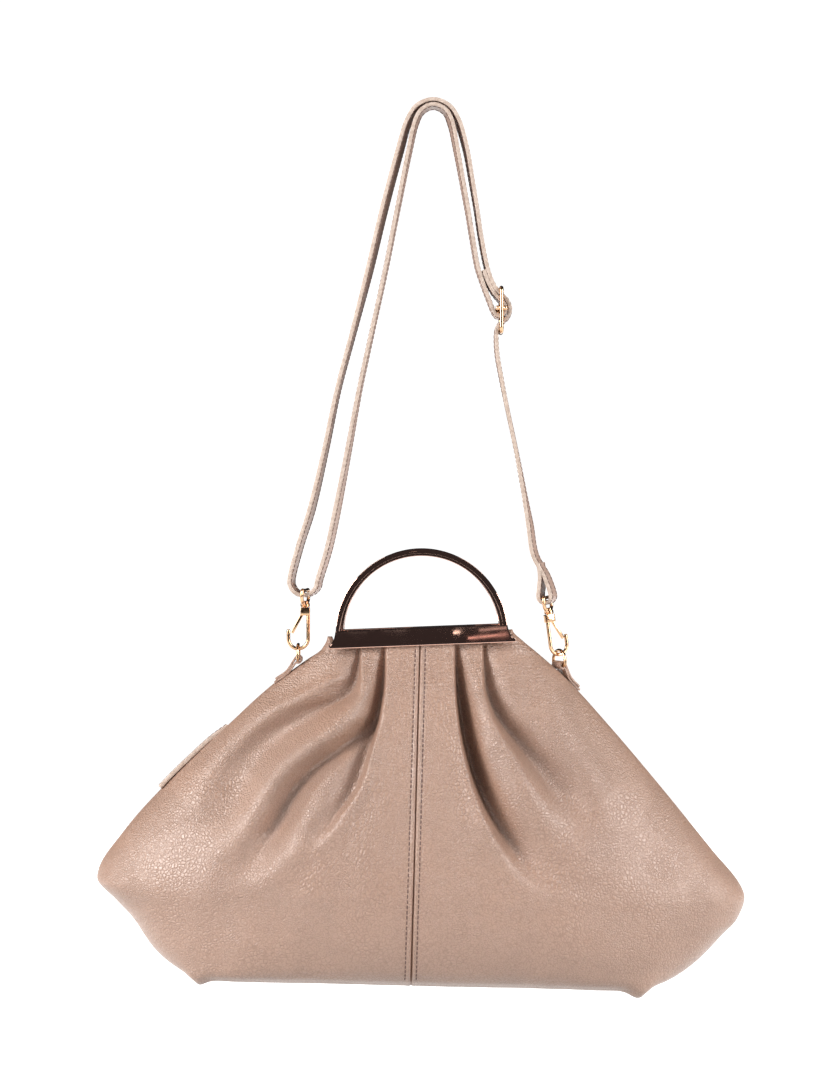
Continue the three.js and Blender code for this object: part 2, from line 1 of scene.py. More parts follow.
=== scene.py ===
"""Looks of a soft pleated leather handbag with metal D handles, hung by its shoulder strap.

Sizes are in millimetres in the part's own frame: +Z up, the front faces -Y, and the origin is the hang
point under the strap's top bend. Meshes are scaled to metres as they are made.
"""

import math
from types import SimpleNamespace as Sizes

import bmesh
import bpy
import numpy as np
from mathutils import Matrix, Vector


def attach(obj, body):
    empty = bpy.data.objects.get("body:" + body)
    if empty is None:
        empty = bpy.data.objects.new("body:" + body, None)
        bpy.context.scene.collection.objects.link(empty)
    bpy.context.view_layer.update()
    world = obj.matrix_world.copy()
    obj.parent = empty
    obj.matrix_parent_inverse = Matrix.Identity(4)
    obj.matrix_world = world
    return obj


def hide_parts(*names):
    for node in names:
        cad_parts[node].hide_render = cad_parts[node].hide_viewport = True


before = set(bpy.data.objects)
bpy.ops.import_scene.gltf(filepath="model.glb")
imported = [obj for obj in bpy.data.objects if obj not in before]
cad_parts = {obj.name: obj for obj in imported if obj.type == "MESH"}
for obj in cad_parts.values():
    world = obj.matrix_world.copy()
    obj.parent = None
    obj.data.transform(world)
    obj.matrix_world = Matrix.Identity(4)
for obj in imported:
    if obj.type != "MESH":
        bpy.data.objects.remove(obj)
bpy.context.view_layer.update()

# Driving sizes: the solids' own, apart from the small bevels and the slider's beads
MM = 0.001
GAP = 0.3
MOUTH = np.array([-9.5, 0, -365])
WALL = 2.4
PLEAT_STEP = 1.8
PLEAT_EDGE = 0.9
PLEATS_OPEN = -45
MOUTH_NOTCH = Sizes(deep=5.5, start=(56, 58.5), end=(60, 62.5), fade=(-4, 8))
HANDLE = Sizes(
    tilt=2.2, apart=18, depth=10.6, bevel=0.6, slot=7.6, slot_deep=9.6, inner_wall=56,
    flare_heights=(2, 4, 12), flare_ends=(63, 59, 58), arch_radius=58, arch_thick=5.2, arch_depth=8,
    arch_centre=7.6, arch_bevel=0.35,
)
STRAP = Sizes(width=15, thick=2.6, tail=24, tail_middle=0.6)
EYE = Sizes(wire=1.2, bar=10, collar=3.2, collar_half=1.3, bore=1.8, soft=0.4)
EYE_SIDE = ((2.6, 0), (5.4, 0.9), (8.9, 3), (9.9, 6.2), (9, 10), (4, 10))
HOOK = Sizes(
    wire=1.25, spine=2, spine_in=2, bow=6.7, bow_drop=23, nose_top=17.5, post=1.5, sunk=0.5, head=2.4,
    head_tall=1.3, soft=0.5, block=6.4, block_deep=4.8, block_foot=7, roof=1, slot=2.8, slot_end=0.7,
    bevel=0.35, pin=0.7, pin_out=0.2,
)
GATE = Sizes(knuckle=1.6, wide=2.2, thick=2, bore=0.95, bevel=0.35)
GATE_PIVOT = np.array([-1.2, 0, -4.8])
GATE_TIP = np.array([-8.9, 0, -19])
RING = Sizes(wire=1.1, half=7.1, leg=3, corner=0.8)
TAB = Sizes(width=10.4, thick=1.5, loop=2.2, lift=3.5, long=22, sunk=0.6, shorter=2)
SLIDER = Sizes(
    wire=1.4, bar=1.2, bead=1.7, bead_at=2.5, half=9.4, corner=3, x=44.2, bar_z=-137, top=-123, foot=-152.5,
)
ZIP_END = Sizes(width=16, thick=3, sunk=0.9)
LEFT = Sizes(name="left", side=-1, crest=-10, hook_turn=0, hook_tilt=0, strap_turn=10, strap_bend=9.4)
RIGHT = Sizes(name="right", side=1, crest=-19, hook_turn=210, hook_tilt=7, strap_turn=18, strap_bend=4.2)

# The shell's mesh, closer near the mouth, folds and sides, and its form: the share of its depth that folds
# take up, how soon they ease off at the sides, and the edge of the base
SHELL = Sizes(
    rows=170, rows_closer=1.2, columns=(44, 36, 56), even=0.4, side_closer=1.7, base_rings=14,
    fold_limit=0.8, sliver=0.01, side_ease=1.6, base_edge=(200, 222), base_shrink=0.06,
)
WIRE = Sizes(sides=16, dome=6)

# Sewing: thread and spacing, thickness at places along a stitch, the sewn seam, the distances of its rows of
# stitches at the top and the bottom, and the stitched edge of a band
THREAD = Sizes(long=2.5, pitch=3.4, wide=0.42, high=0.34, ahead=0.3)
STITCH = ((-1, 0.35), (-0.8, 0.85), (-0.35, 1), (0.35, 1), (0.8, 0.85), (1, 0.35))
SEAM = Sizes(
    deep=1.9, reach=0.42, puff=0.5, puff_at=1.9, puff_reach=1.1, dip=0.4, dip_reach=0.7,
    tall=220, first=-2, last=-216, points=400, beside=0.8,
)
SEAM_ROWS = {-1: (3.0, 4.1), 1: (3.7, 3.3)}
BAND = Sizes(row=1.9, dip=0.22, dip_reach=0.8, corner=0.3, face_points=21, edge_points=9, steps=6)

# Where the leather's grain and wrinkles show, and its pebbles with their drift and height in metres
GRAIN = Sizes(least=0.7, slack_at=-70, slack_reach=85, beside=(12, 40), wrinkle=2.2, wrinkle_at=(-70, -5))
PEBBLE = Sizes(
    drift=0.0018, height=0.0006, slope=2.4, coarse=1.4, pores=0.1, coat=0.4, wrinkles=(90, 90, 620),
    # crease is the share of colour left in the creases between pebbles, as painted shade
    crease=(0.62, 0.54, 0.5, 1),
)

# Camera and stage, in metres
PHOTO_MM_PER_PIXEL = 0.68
PHOTO_HEIGHT = 1080
CAMERA_AT = Vector((-0.0109, -1.4, -0.2938))
FLOOR = -0.78
COVE = Sizes(flat=4, bend=1.4, wall=4.5, peak=6.5)
ROOM = Sizes(
    wall=(0, -2.4, -0.3), size=(2.6, 2.6), dome=3.0, dome_low=-0.45, dome_thick=0.05, dome_hole=0.001,
    glints_at=-2.38,
)
# Lights, all aimed at one place: name, place, size, watts, and the kind of light that each leaves out
LIT_AT = (0, 0, -0.48)
LIGHTS = (
    ("left_light", (-1.56, -0.88, 0.35), (0.7, 1.4), 46, ""),
    ("right_light", (1.62, -0.8, 0.35), (0.7, 1.4), 35, ""),
    ("left_rim", (-1.6, 0.3, -0.2), (0.8, 1.2), 14, "glossy"),
    ("right_rim", (1.6, 0.3, -0.2), (0.8, 1.2), 14, "glossy"),
    ("left_sheen", (-0.85, -1.2, 0.5), (0.6, 1.0), 5, "diffuse"),
    ("right_sheen", (0.85, -1.2, 0.5), (0.6, 1.0), 3.5, "diffuse"),
    ("table_bounce", (0, -0.9, -1.1), (1.6, 0.8), 4.5, "glossy"),
    ("back_light", (0, 2.0, 0.1), (1.4, 1.4), 42, "glossy"),
)
WORLD_LIGHT = 0.05
# Things that the front plates mirror: x, z, length, height, tilt in degrees, colour and strength
GLINTS = (
    (0.056, -0.462, 0.012, 0.004, 6, (1, 0.9, 0.82), 2.5),
    (0.113, -0.469, 0.073, 0.004, 6, (0.9, 0.2, 0.1), 0.6),
    (0.122, -0.456, 0.05, 0.003, 5, (0.9, 0.25, 0.14), 0.3),
    (-0.05, -0.447, 0.36, 0.012, 2, (0.5, 0.38, 0.34), 0.03),
    (-0.03, -0.215, 0.022, 0.004, -6, (1, 0.85, 0.7), 2.0),
)


def table(columns, rows):
    """Rows of a table as one array for each named column."""
    return dict(zip(columns.split(), np.array(rows, float).T))


# Cross sections of the body: height below the mouth, the seam's x, tilt in degrees, half widths to the left
# and right of the seam, half depth, and how square the section is
SECTIONS = table("z seam tilt left right depth square", [
    (8, -1.4, -2.2, 63, 63, 12.3, 20),
    (0, -1.4, -2.2, 66.6, 70, 12.3, 18),
    (-8, -1.6, -2, 77.8, 79.8, 15, 8),
    (-26, -2.1, -1.2, 101, 101, 25, 3),
    (-56, -2.9, 0, 130.6, 131, 39.5, 2.3),
    (-94, -3.9, 1.1, 166.7, 166.9, 54, 2.2),
    (-134, -4.9, 1.8, 199, 203, 64, 2.3),
    (-158, -5.6, 1.8, 214, 223, 67.5, 2.4),
    (-164, -5.8, 1.8, 215, 225, 68, 2.4),
    (-178, -6.2, 1.8, 202, 220.5, 68, 2.6),
    (-189, -6.5, 1.7, 190.5, 211, 67, 3),
    (-209, -7, 1.5, 174.5, 192, 61, 4.5),
    (-218, -7.3, 1.4, 161.5, 178.5, 54, 8),
    (-222, -7.4, 1.4, 151.5, 168, 46, 14),
])

# Folds below the pleats: distance of the valley from the seam, its depth, and how far it reaches outwards
LEFT_INNER = table("z at deep outer", [
    (8, 24, 0, 5), (-2, 24, 1.5, 5), (-20, 24, 8, 6), (-42, 26.2, 10, 10), (-66, 32, 9, 14),
    (-89, 39, 7, 14), (-112, 54, 5, 14), (-140, 71, 0, 20),
])
LEFT_OUTER = table("z at deep outer", [
    (8, 41, 0, 6), (-2, 41, 1, 6), (-18, 41.5, 8, 10), (-30, 45, 11, 16), (-43, 66, 12, 18),
    (-62, 95, 12, 19), (-86, 115, 11, 18), (-112, 124, 7, 17), (-140, 130, 0, 20),
])
LEFT_BRANCH = table("z at deep outer", [
    (-42, 26.5, 0, 9), (-54, 35, 5, 11), (-66, 48.5, 8, 13), (-81, 67, 10, 14), (-95, 79, 11, 13),
    (-115, 89, 10, 13), (-138, 102, 5, 14), (-160, 112, 0, 18),
])
RIGHT_INNER = table("z at deep outer", [
    (8, 24.5, 0, 5), (-2, 24.5, 1.5, 5), (-22, 25.5, 12, 6), (-52, 29.3, 19, 8), (-78, 36, 19, 10),
    (-102, 46, 14, 14), (-124, 60, 9, 18), (-142, 75, 4, 20), (-160, 90, 0, 24),
])
RIGHT_OUTER = table("z at deep outer", [
    (8, 43.5, 0, 6), (-2, 43.5, 1, 6), (-26, 45, 8, 8), (-44, 51, 11, 12), (-69, 70.5, 12, 17),
    (-90, 89, 10, 19), (-110, 104, 5, 20), (-132, 112, 0, 22),
])

# How far a fold's edge reaches towards the seam, and how far the leather rolls forward along that edge
CRISP_LIP = table("z reach roll", [
    (8, 0.8, 0), (-6, 1, 0.2), (-26, 1.2, 0.5), (-56, 1.5, 0.9), (-82, 2, 1.6), (-106, 3, 2.2),
    (-126, 4.5, 1.8), (-144, 7, 0.8), (-160, 10, 0),
])
FIRM_LIP = table("z reach roll", [
    (8, 0.8, 0), (-6, 1, 0.4), (-24, 1.3, 1.2), (-42, 2, 1.8), (-66, 4, 2.2), (-90, 9, 1.6),
    (-112, 14, 0.8), (-135, 18, 0),
])
SOFT_LIP = table("z reach roll", [
    (8, 0.8, 0), (-6, 1, 0.4), (-20, 1.8, 1.2), (-30, 4, 1.6), (-42, 10, 1.6), (-58, 15, 1.6),
    (-90, 15, 1.4), (-112, 14, 0.8), (-140, 18, 0),
])
BRANCH_LIP = table("z reach roll", [(-42, 5, 0), (-66, 8, 0.6), (-94, 9, 1.6), (-120, 9, 1.6), (-158, 14, 0)])

# Narrow creases where the leather tucks under a fold's edge: extra depth, and its reach outwards
DEEP_CREASE = table("z deep reach", [
    (8, 0, 1), (-3, 2.5, 1.4), (-20, 6, 3), (-50, 9, 5), (-80, 8, 6), (-105, 6, 7), (-126, 4, 7),
    (-142, 2, 7), (-158, 0, 9),
])
SHARP_CREASE = table("z deep reach", [
    (8, 0, 1), (-3, 2.5, 1.4), (-20, 6, 3), (-45, 7.5, 4.5), (-66, 4, 6), (-89, 2.2, 7), (-112, 1.2, 8),
    (-135, 0, 10),
])
FIRM_CREASE = table("z deep reach", [
    (8, 0, 1), (-3, 2.5, 1.4), (-20, 5, 3), (-40, 5, 5), (-62, 4, 8), (-90, 2, 10), (-115, 0, 10),
])
SHORT_CREASE = table("z deep reach", [(8, 0, 1), (-3, 2.5, 1.4), (-18, 4.5, 3), (-32, 2, 6), (-48, 0, 9)])
BRANCH_CREASE = table("z deep reach", [
    (-42, 0, 6), (-66, 3, 7), (-95, 4, 7), (-118, 4, 8), (-138, 2, 9), (-158, 0, 10),
])

# Each side's folds as valley, edge and crease; the first two of a side start from its pleats
FOLDS = {
    -1: ((LEFT_INNER, CRISP_LIP, SHARP_CREASE), (LEFT_OUTER, SOFT_LIP, SHORT_CREASE),
         (LEFT_BRANCH, BRANCH_LIP, BRANCH_CREASE)),
    1: ((RIGHT_INNER, CRISP_LIP, DEEP_CREASE), (RIGHT_OUTER, FIRM_LIP, FIRM_CREASE)),
}
PLEATS = {-1: (LEFT_INNER, LEFT_OUTER), 1: (RIGHT_INNER, RIGHT_OUTER)}

# Soft ridges between the folds: distance from the seam, height and reach
LEFT_SHOULDER_RIDGE = table("z at high reach", [
    (-14, 50, 0, 9), (-24, 64, 3, 11), (-46, 106, 4, 13), (-67, 126, 4, 13), (-88, 139, 3, 13),
    (-120, 146, 0, 14),
])
LEFT_MAIN_RIDGE = table("z at high reach", [
    (-8, 32, 0, 5), (-36, 42, 2, 8), (-57, 62, 4, 11), (-75, 85, 4, 12), (-105, 104, 4, 11),
    (-140, 116, 0, 14),
])
LEFT_LOW_RIDGE = table("z at high reach", [
    (-84, 48, 0, 10), (-104, 60, 3, 11), (-128, 73, 4, 12), (-148, 88, 2, 13), (-166, 98, 0, 14),
])
RIGHT_STRIP_RIDGE = table("z at high reach", [
    (-6, 38, 0, 4), (-30, 40, 1.5, 6), (-56, 51, 2.5, 8), (-82, 70, 3, 11), (-106, 86, 1.5, 14),
    (-124, 92, 0, 14),
])
RIGHT_SHOULDER_RIDGE = table("z at high reach", [
    (-8, 74, 0, 11), (-24, 84, 3, 13), (-57, 101, 5, 15), (-86, 116, 5, 15), (-108, 122, 3, 15),
    (-132, 126, 0, 16),
])
RIDGES = {
    -1: (LEFT_SHOULDER_RIDGE, LEFT_MAIN_RIDGE, LEFT_LOW_RIDGE),
    1: (RIGHT_STRIP_RIDGE, RIGHT_SHOULDER_RIDGE),
}

# The roll along a fold's edge: its least reach, what the edge's own reach adds to it, and how far its crest
# lies towards the seam, as shares of the edge's reach and of its own
ROLL = Sizes(least=3, edge=1.2, back=1.3, inside=0.4)

# Soft unevenness of the shell: wave length, direction in degrees, phase and height. It fades in below the
# mouth and beside the seam, and the front and the back differ in phase.
DENTS = (
    (118, 20, 0.4, 0.7), (86, 74, 2.1, 0.55), (61, -38, 4.4, 0.4), (47, 52, 1.2, 0.3), (33, -12, 3.3, 0.2),
)
DENT = Sizes(below=(20, 70), beside=(4, 30), face_phase=1.7)

# The sewn corners of the base, which stand out a little: side, distance from the side, push to the side,
# outwards and down, and reach; and their height
EARS = ((-1, 12, (0, 2, -4), 8), (1, 19, (0, 2, -5), 8))
EAR_HEIGHT = -221.0

# The strap's listed stretches, each point as x, z and the strap's turn about the vertical in degrees
RIGHT_STRAND = (
    (67.3, -304, 16), (63.9, -283.6, 14), (60.2, -263.2, 8), (54.4, -232.6, 4), (47.9, -202, 3),
    (43.9, -181.6, 1), (41.3, -166, 0),
)
THROUGH_SLIDER = (
    (41, -153, 0), (42, -149, 0), (45.6, -145.3, 0), (49, -141.8, 0), (50, -137, 0), (48.3, -131.8, 0),
    (44.4, -127.6, 0), (41.2, -124.2, 0), (38.6, -120, 0),
)
OUTER_LAYER = (
    (35, -111, -2), (30.6, -89.8, -3), (27.5, -69.4, -3), (24.1, -49, -4), (20.4, -28.6, -6),
    (14.8, -9.5, -8), (8.5, 0.6, -4), (-1.8, 4.7, 0), (-12.5, 0.6, 5), (-18.8, -9.5, 10),
    (-24.5, -28.6, 12), (-35.4, -69.4, 12), (-45.2, -110.2, 11), (-55.8, -151, 6), (-66.6, -191.8, 5),
    (-75.1, -232.6, 7), (-84.7, -273.4, 11), (-92.5, -298, 10),
)
INNER_LAYER = (
    (-73, -300, 11), (-67.3, -273.4, 11), (-59.5, -232.6, 7), (-52, -191.8, 3), (-43.2, -151, 2),
    (-34.3, -110.2, 2), (-26.2, -69.4, 3), (-18, -28.6, 5), (-13.5, -9.5, 6), (-9.3, -2, 3),
    (-1.8, 1.3, 0), (5.8, -2, -4), (9.8, -9.5, -8), (13.9, -28.6, -6), (17.7, -49, -4),
    (21.4, -69.4, -3), (24.8, -89.8, -3), (28, -108, -2), (30.8, -117, -1), (33.6, -125, 0), (36.3, -132, 0),
)
# The strap's end, round the slider's middle bar and back up to where it is sewn down
SEWN_BACK_END = (
    (38.7, -138, 0), (40.8, -141.3, 0), (43.6, -142.1, 0), (46.2, -140.2, 0), (47.05, -137, 0),
    (45.4, -133, 0), (41.3, -128.8, 0), (37.7, -123.9, 0), (34.5, -117.5, -1), (32, -111, -2),
)

# The zip end's line on the left shoulder: section height, lift off the crest, and distance to the back
ZIP_LINE = ((-101, 2.2, 0), (-90, 2.3, 1), (-78, 2.3, 3), (-66, 2.2, 6), (-56, 0.6, 9))


# Numbers

def smoothstep(value, low, high):
    t = np.clip((value - low) / (high - low), 0, 1)
    return t * t * (3 - 2 * t)


def hump(distance, reach):
    """A smooth hump of height 1 that falls away over its reach."""
    return np.exp(-(distance / reach) ** 2)


def unit(vectors):
    return vectors / np.linalg.norm(vectors, axis=-1, keepdims=True)


def read(rows, key, z):
    """One column of a table at heights z, on a smooth curve that never overshoots the rows."""
    heights, values = -rows["z"], rows[key]
    steps = np.diff(values) / np.diff(heights)
    product, total = steps[:-1] * steps[1:], steps[:-1] + steps[1:]
    slopes = np.zeros(len(values))
    slopes[1:-1] = np.where(product > 0, 2 * product / np.where(total == 0, 1, total), 0)
    drop = np.clip(-np.asarray(z, float), heights[0], heights[-1])
    i = np.clip(np.searchsorted(heights, drop, side="right") - 1, 0, len(heights) - 2)
    span = heights[i + 1] - heights[i]
    t = (drop - heights[i]) / span
    bend = slopes[i] * t * (1 - t) ** 2 - slopes[i + 1] * t * t * (1 - t)
    return values[i] + (values[i + 1] - values[i]) * t * t * (3 - 2 * t) + span * bend


def smooth_path(points, steps_each, closed=False):
    """Points on a centripetal curve through the given ones."""
    points = np.asarray(points, float)
    if closed:
        padded = np.concatenate([points[-1:], points, points[:2]])
    else:
        padded = np.concatenate([[2 * points[0] - points[1]], points, [2 * points[-1] - points[-2]]])
    weights = np.arange(steps_each)[:, None] / steps_each
    pieces = []
    for a, b, c, d in zip(padded, padded[1:], padded[2:], padded[3:]):
        before, here, after = (math.sqrt(np.linalg.norm(q - p)) for p, q in ((a, b), (b, c), (c, d)))
        leave = ((b - a) / before - (c - a) / (before + here) + (c - b) / here) * here
        arrive = ((c - b) / here - (d - b) / (here + after) + (d - c) / after) * here
        square = 3 * (c - b) - 2 * leave - arrive
        cube = 2 * (b - c) + leave + arrive
        pieces.append(b + leave * weights + square * weights ** 2 + cube * weights ** 3)
    return np.concatenate(pieces if closed else [*pieces, points[-1:]])


def arc(radius, start, end, count):
    """Points of an arc as two columns, with angles in degrees."""
    angles = np.radians(np.linspace(start, end, count + 1))
    return radius * np.stack([np.cos(angles), np.sin(angles)], axis=1)


def rounded_box(half_wide, half_high, radius, count):
    """Outline of a rectangle with round corners, as two columns."""
    corners = []
    for i, signs in enumerate(((1, 1), (-1, 1), (-1, -1), (1, -1))):
        centre = np.multiply(signs, (half_wide - radius, half_high - radius))
        corners.append(arc(radius, i * 90, i * 90 + 90, count) + centre)
    return np.concatenate(corners)


def turned(tilt, turn):
    """Rotation about Z by turn, then about Y by minus tilt, in degrees."""
    about_y = Matrix.Rotation(-math.radians(tilt), 3, "Y")
    return np.array(about_y @ Matrix.Rotation(math.radians(turn), 3, "Z"))


# Shapes: a list of vertices and a list of faces

def outward(points, faces):
    """The shape with its faces pointing out."""
    fans = np.array([(f[0], b, c) for f in faces for b, c in zip(f[1:], f[2:])])
    a, b, c = (points[corner] for corner in fans.T)
    inside_out = np.einsum("ij,ij->", a, np.cross(b, c)) < 0
    return points, [f[::-1] for f in faces] if inside_out else faces


def grid_faces(first, second, closed):
    """Quads between two rows of vertex numbers."""
    after = (np.roll(first, -1), np.roll(second, -1))
    quads = np.stack([first, second, after[1], after[0]], axis=1)
    return (quads if closed else quads[:-1]).tolist()


def skin(rows, closed):
    """Quads between each row of vertex numbers and the next."""
    return [quad for here, after in zip(rows, rows[1:]) for quad in grid_faces(here, after, closed)]


def sweep(centres, across, up, section, closed=False, scale=1.0):
    """A section carried along a path, closed on itself or capped at both ends. The directions and the scale
    are one for the whole path or one for each of its points."""
    across, up = (np.broadcast_to(np.asarray(way, float), centres.shape)[:, None] for way in (across, up))
    size = np.broadcast_to(scale, len(centres))[:, None, None]
    rings = centres[:, None] + (section[:, :1] * across + section[:, 1:] * up) * size
    rows = np.arange(len(centres) * len(section)).reshape(-1, len(section))
    ends = grid_faces(rows[-1], rows[0], True) if closed else [rows[0].tolist(), rows[-1][::-1].tolist()]
    return outward(rings.reshape(-1, 3), skin(rows, True) + ends)


def tube(path, radius, normal, closed=False, domed=False):
    """Round wire along a flat path whose plane has the given normal."""
    path = np.asarray(path, float)
    scale = 1.0
    if domed:
        along = np.linspace(0, 1, WIRE.dome)[1:-1]
        ends = [path[e] + unit(path[e] - path[i]) * radius * along[:, None] for e, i in ((0, 1), (-1, -2))]
        scale = np.concatenate([np.sqrt(1 - along[::-1] ** 2), np.ones(len(path)), np.sqrt(1 - along ** 2)])
        path = np.concatenate([ends[0][::-1], path, ends[1]])
    if closed:
        along = np.roll(path, -1, axis=0) - np.roll(path, 1, axis=0)
    else:
        along = np.gradient(path, axis=0)
    side = unit(np.cross(unit(along), normal))
    return sweep(path, normal, side, arc(radius, 0, 360, WIRE.sides)[:-1], closed, scale)


def lathe(profile, sides=28):
    """A profile of radius and height turned about Z; it closes on itself or starts and ends on the axis."""
    angles = np.arange(sides) * 2 * math.pi / sides
    profile = np.asarray(profile, float)
    on_axis = profile[0][0] < 1e-6
    rings = profile[1:-1] if on_axis else profile
    points = np.stack([
        rings[:, :1] * np.cos(angles), rings[:, :1] * np.sin(angles), np.repeat(rings[:, 1:], sides, axis=1),
    ], axis=-1).reshape(-1, 3)
    rows = np.arange(len(points)).reshape(-1, sides)
    faces = skin(rows, True)
    if not on_axis:
        return outward(points, faces + grid_faces(rows[-1], rows[0], True))
    ends = len(points)
    points = np.concatenate([points, [[0, 0, profile[0][1]], [0, 0, profile[-1][1]]]])
    faces += [[ends, a, b] for a, b in zip(rows[0], np.roll(rows[0], -1))]
    faces += [[ends + 1, b, a] for a, b in zip(rows[-1], np.roll(rows[-1], -1))]
    return outward(points, faces)


def cells(xs, ys, zs, filled, place=lambda *corner: corner):
    """Closed skin round the filled cells of a grid; place moves a grid corner to its point."""
    shape = (len(xs), len(ys), len(zs))
    points = np.array([place(x, y, z) for x in xs for y in ys for z in zs], float)
    number = np.arange(len(points)).reshape(shape)
    solid = np.zeros([n + 1 for n in shape], bool)
    solid[1:-1, 1:-1, 1:-1] = np.vectorize(filled)(*np.indices([n - 1 for n in shape]))
    faces = []
    for axis in range(3):
        step = np.eye(3, dtype=int)[axis]
        u, v = np.eye(3, dtype=int)[[(axis + 1) % 3, (axis + 2) % 3]]
        for cell in np.argwhere(solid):
            corner = cell - 1
            loop = [corner, corner + u, corner + u + v, corner + v]
            if not solid[tuple(cell - step)]:
                faces.append([int(number[tuple(p)]) for p in loop[::-1]])
            if not solid[tuple(cell + step)]:
                faces.append([int(number[tuple(p + step)]) for p in loop])
    used = sorted({n for f in faces for n in f})
    renumber = {n: i for i, n in enumerate(used)}
    return outward(points[used], [[renumber[n] for n in f] for f in faces])


def bevelled(shape, width, segments=3, sharpest=35):
    """The shape with its sharp edges rounded."""
    points, faces = shape
    mesh = bmesh.new()
    corners = [mesh.verts.new(p) for p in points]
    for face in faces:
        mesh.faces.new([corners[i] for i in face])
    mesh.normal_update()
    bmesh.ops.dissolve_limit(mesh, angle_limit=math.radians(1), verts=mesh.verts, edges=mesh.edges)
    edges = [e for e in mesh.edges if e.calc_face_angle(0) > math.radians(sharpest)]
    bmesh.ops.bevel(mesh, geom=edges, offset=width, segments=segments, profile=0.5, affect="EDGES")
    mesh.verts.index_update()
    rounded = (np.array([v.co for v in mesh.verts]), [[v.index for v in f.verts] for f in mesh.faces])
    mesh.free()
    return rounded


def moved(shape, rotation, offset):
    points, faces = shape
    return points @ np.asarray(rotation).T + offset, faces


def build(name, shapes, materials, indices=None, sharp=40):
    """One smooth shaded object from several shapes, with its sharp edges kept."""
    points, faces = [], []
    for shape_points, shape_faces in shapes:
        start = sum(len(p) for p in points)
        points.append(np.asarray(shape_points) * MM)
        faces += [[int(i) + start for i in f] for f in shape_faces]
    mesh = bpy.data.meshes.new(name)
    mesh.from_pydata(np.concatenate(points).tolist(), [], faces)
    for material in materials:
        mesh.materials.append(material)
    if indices is not None:
        mesh.polygons.foreach_set("material_index", np.asarray(indices, np.int32))
    mesh.shade_smooth()
    mesh.set_sharp_from_angle(angle=math.radians(sharp))
    mesh.validate()
    made = bpy.data.objects.new(name, mesh)
    bpy.context.scene.collection.objects.link(made)
    return made


# Leather shell

def valley(rows, lip, crease, z, out):
    """Depth of one fold: a broad valley and a narrow crease under its edge."""
    at = read(rows, "at", z)
    edge = read(lip, "reach", z)

    def dip(depths, reach):
        return read(depths, "deep", z) * hump(out - at, np.where(out < at, edge, read(depths, reach, z)))
    return dip(rows, "outer") + dip(crease, "reach")


def roll(rows, lip, z, out):
    """The leather's swell along the seam side of a fold's edge."""
    edge = read(lip, "reach", z)
    reach = ROLL.least + ROLL.edge * edge
    top = read(rows, "at", z) - ROLL.back * edge - ROLL.inside * reach
    return read(lip, "roll", z) * hump(out - top, reach)


def fold_depth(z, side, out):
    """How far a point is pushed in: the valleys, and the stacked layers of the pleats near the mouth."""
    edges = [read(rows, "at", z) for rows in PLEATS[side]]
    layers = sum(smoothstep(out, at - PLEAT_EDGE, at) for at in edges)
    stacked = smoothstep(z, PLEATS_OPEN, 0) * PLEAT_STEP * layers
    return stacked + sum(valley(*fold, z, out) for fold in FOLDS[side])


def seam_row(z, side):
    """Distance of a row of stitches from the centre seam."""
    top, bottom = SEAM_ROWS[side]
    return top + (bottom - top) * np.clip(-z / SEAM.tall, 0, 1)


def relief(z, side, out, face):
    """Small shapes of the leather: the sewn seam, rolled fold edges, soft ridges and dents."""
    sewn = SEAM.puff * hump(out - SEAM.puff_at, SEAM.puff_reach) - SEAM.deep * hump(out, SEAM.reach)
    sewn = sewn - SEAM.dip * hump(out - seam_row(z, side), SEAM.dip_reach)
    rolls = sum(roll(rows, lip, z, out) for rows, lip, _ in FOLDS[side])
    for rows in RIDGES[side]:
        rolls = rolls + read(rows, "high", z) * hump(out - read(rows, "at", z), read(rows, "reach", z))
    dents = 0
    for length, direction, phase, height in DENTS:
        angle = math.radians(direction)
        along = side * out * math.cos(angle) + z * math.sin(angle)
        dents = dents + height * np.sin(2 * math.pi * along / length + phase + DENT.face_phase * face)
    return sewn + rolls + dents * smoothstep(-z, *DENT.below) * smoothstep(out, *DENT.beside)


def half_width(z, side):
    return read(SECTIONS, "left" if side < 0 else "right", z)


def body_points(z, side, out, face, inset=0.0):
    """Points of the body: side -1 left or 1 right, out is the distance from the seam, face -1 front or 1
    back, and inset is how far inside the outer skin they lie."""
    half = half_width(z, side)
    fullness = np.sqrt(np.clip(1 - np.minimum(1, out / half) ** read(SECTIONS, "square", z), 0, 1))
    depth = (read(SECTIONS, "depth", z) - inset) * fullness
    deepest = SHELL.fold_limit * depth + SHELL.sliver
    eased = np.minimum(1, fullness * SHELL.side_ease)
    depth = depth - deepest * np.tanh(fold_depth(z, side, out) * eased / deepest)
    depth = depth + relief(z, side, out, face) * eased
    along = side * out * (half - inset) / half
    tilt = np.radians(read(SECTIONS, "tilt", z))
    notch = smoothstep(out, *MOUTH_NOTCH.start) * (1 - smoothstep(out, *MOUTH_NOTCH.end))
    notch = MOUTH_NOTCH.deep * notch * smoothstep(z, *MOUTH_NOTCH.fade)
    lift = inset * smoothstep(-z, *SHELL.base_edge) - notch
    x = read(SECTIONS, "seam", z) + along * np.cos(tilt)
    return np.stack(np.broadcast_arrays(x, face * depth, z - along * np.sin(tilt) + lift), axis=-1) + MOUTH


def spaced(count, last):
    """Steps from 0 to 1, closer at both ends, or only at the far end on the way to the side."""
    t = np.arange(1, count + 1) / count
    if last:
        return 1 - (1 - t) ** SHELL.side_closer
    return SHELL.even * t + (1 - SHELL.even) * (0.5 - 0.5 * np.cos(math.pi * t))


